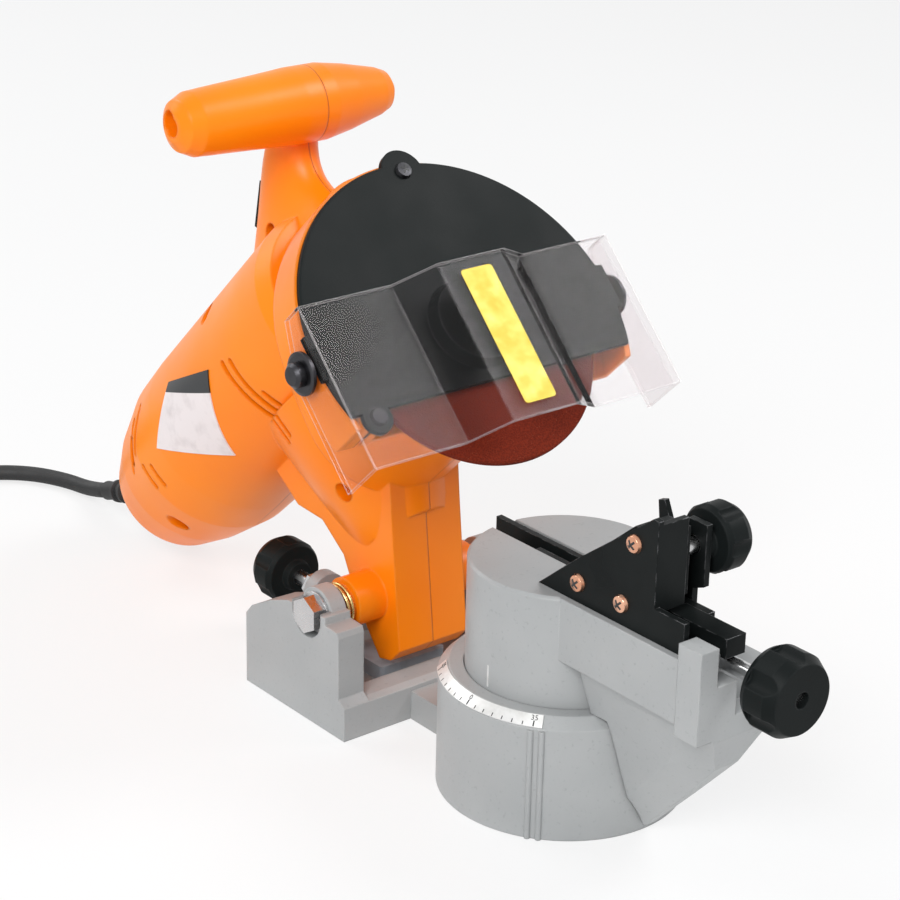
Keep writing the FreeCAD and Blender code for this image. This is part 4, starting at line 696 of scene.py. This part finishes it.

# %% [markdown]
# ## Screw recesses
#
# A cross recess is a dark cross on a domed head, dark with the shade that falls inside it. Cutting it out
# would change a solid that has to stay as it is, so a thin cross of painted shade follows the dome instead,
# highest in its middle and lower at its ends.

# %% Cross recesses
def cross_recess_shade(name, centre, way, arm, half, middle_rise, end_rise, body):
    """A cross of painted shade, standing for the shade inside a screw's recess, that follows a domed screw head.
    """
    way = Vector(way).normalized()
    across = way.orthogonal().normalized()
    over = way.cross(across)
    rim = []
    for quarter in range(4):
        out, side = (across, over) if quarter % 2 == 0 else (over, -across)
        sign = 1 if quarter < 2 else -1
        inner_rise = middle_rise - (middle_rise - end_rise) * half / arm
        rim.append((out * arm - side * half) * sign + way * end_rise)
        rim.append((out * arm + side * half) * sign + way * end_rise)
        rim.append((out + side) * half * sign + way * inner_rise)
    points = [Vector(centre) + way * middle_rise] + [Vector(centre) + spot for spot in rim]
    points += [spot - way * 0.0006 for spot in points[1:]]
    count = len(rim)
    faces = [[0, i + 1, (i + 1) % count + 1] for i in range(count)]
    faces += [[i + 1, i + 1 + count, (i + 1) % count + 1 + count, (i + 1) % count + 1] for i in range(count)]
    faces.append([i + 1 + count for i in range(count)][::-1])
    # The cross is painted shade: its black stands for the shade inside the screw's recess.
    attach(dress(add_mesh(name, points, faces, smooth=False), "ink_and_painted_shade"), body)


for index, (y, z) in enumerate([(-0.1526, 0.123), (-0.1256, 0.0985), (-0.1476, 0.099)]):
    cross_recess_shade("clamp_screw_recess_shade_%d" % index, (-0.0239, y, z), (-1, 0, 0), 0.0019, 0.00042,
                 0.00234, 0.00176, "vise")
head_forward = head_point(0, 1, 0) - head_point(0, 0, 0)
for index, (x, level) in enumerate([(0.0035, 0.1238), (-0.056, 0.0333)]):
    cross_recess_shade("guard_screw_recess_shade_%d" % index, head_point(x, 0.1083, level), head_forward, 0.0018, 0.0004,
                 0.00204, 0.00176, "grinder_head")
print("five recesses")

# %% The lead in place
dress(lead, "black_rubber")
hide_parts("mains_cord", "cord_coil")
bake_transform(lead)

# %% [markdown]
# ## The floor and the lights
#
# A product picture is taken on a white sweep between large soft lamps. The floor here is a wide plane
# that is partly lit and partly shines by itself towards the camera, so it stays white but keeps the
# object's shadow. Area lamps give the soft streaks on the plastic that tell its shape.

# %% Floor and world
floor_size = 9
floor_corners = [(x * floor_size, y * floor_size, -0.0002) for x, y in ((-1, -1), (1, -1), (1, 1), (-1, 1))]
floor = add_mesh("floor", floor_corners, [[0, 1, 2, 3]])
sweep, tree, shader, place = new_finish("pale_sweep", 0.9)
tree.links.new(mixed(tree, speckle(tree, place, 3), (0.84, 0.84, 0.84), (0.88, 0.88, 0.88)),
               shader.inputs["Base Color"])
rays = tree.nodes.new("ShaderNodeLightPath")
glow = tree.nodes.new("ShaderNodeEmission")
glow.inputs["Strength"].default_value = 1.0
seen = maths(tree, "MAXIMUM", rays.outputs["Is Camera Ray"],
             maths(tree, "MAXIMUM", rays.outputs["Is Glossy Ray"], rays.outputs["Is Transmission Ray"]))
blend = tree.nodes.new("ShaderNodeMixShader")
tree.links.new(maths(tree, "MULTIPLY", seen, 0.72), blend.inputs["Fac"])
tree.links.new(shader.outputs["BSDF"], blend.inputs[1])
tree.links.new(glow.outputs["Emission"], blend.inputs[2])
output = next(node for node in tree.nodes if node.type == "OUTPUT_MATERIAL")
tree.links.new(blend.outputs["Shader"], output.inputs["Surface"])
floor.data.materials.append(sweep)

world = bpy.data.worlds.new("studio")
bpy.context.scene.world = world
world.use_nodes = True
tree = world.node_tree
light_in_room = tree.nodes["Background"]
light_in_room.inputs["Color"].default_value = (0.95, 0.97, 1.0, 1)
light_in_room.inputs["Strength"].default_value = 0.34
white_wall = tree.nodes.new("ShaderNodeBackground")
white_wall.inputs["Color"].default_value = (1, 1, 1, 1)
white_wall.inputs["Strength"].default_value = 1.0
rays = tree.nodes.new("ShaderNodeLightPath")
seen = maths(tree, "MAXIMUM", rays.outputs["Is Camera Ray"],
             maths(tree, "MAXIMUM", rays.outputs["Is Glossy Ray"], rays.outputs["Is Transmission Ray"]))
blend = tree.nodes.new("ShaderNodeMixShader")
tree.links.new(seen, blend.inputs["Fac"])
tree.links.new(light_in_room.outputs["Background"], blend.inputs[1])
tree.links.new(white_wall.outputs["Background"], blend.inputs[2])
tree.links.new(blend.outputs["Shader"], tree.nodes["World Output"].inputs["Surface"])
print("floor and world made")


# %% Soft lamps
def soft_lamp(name, spot, aim, size, power):
    """A square lamp at a spot, turned to a point."""
    data = bpy.data.lights.new(name, "AREA")
    data.shape = "SQUARE"
    data.size = size
    data.energy = power
    lamp = bpy.data.objects.new(name, data)
    bpy.context.scene.collection.objects.link(lamp)
    lamp.location = spot
    lamp.rotation_mode = "QUATERNION"
    lamp.rotation_quaternion = (Vector(aim) - Vector(spot)).to_track_quat("-Z", "Y")
    return lamp


middle = (0, -0.03, 0.12)
soft_lamp("key_lamp", (-1.45, -0.95, 1.35), middle, 0.9, 30)
soft_lamp("visor_lamp", (0.976, -0.613, 1.294), (0, -0.05, 0.158), 0.6, 11)
soft_lamp("back_lamp", (-0.5, 1.5, 1.3), middle, 1.0, 12)
bpy.context.scene.view_settings.view_transform = "Standard"
print("lamps lit")
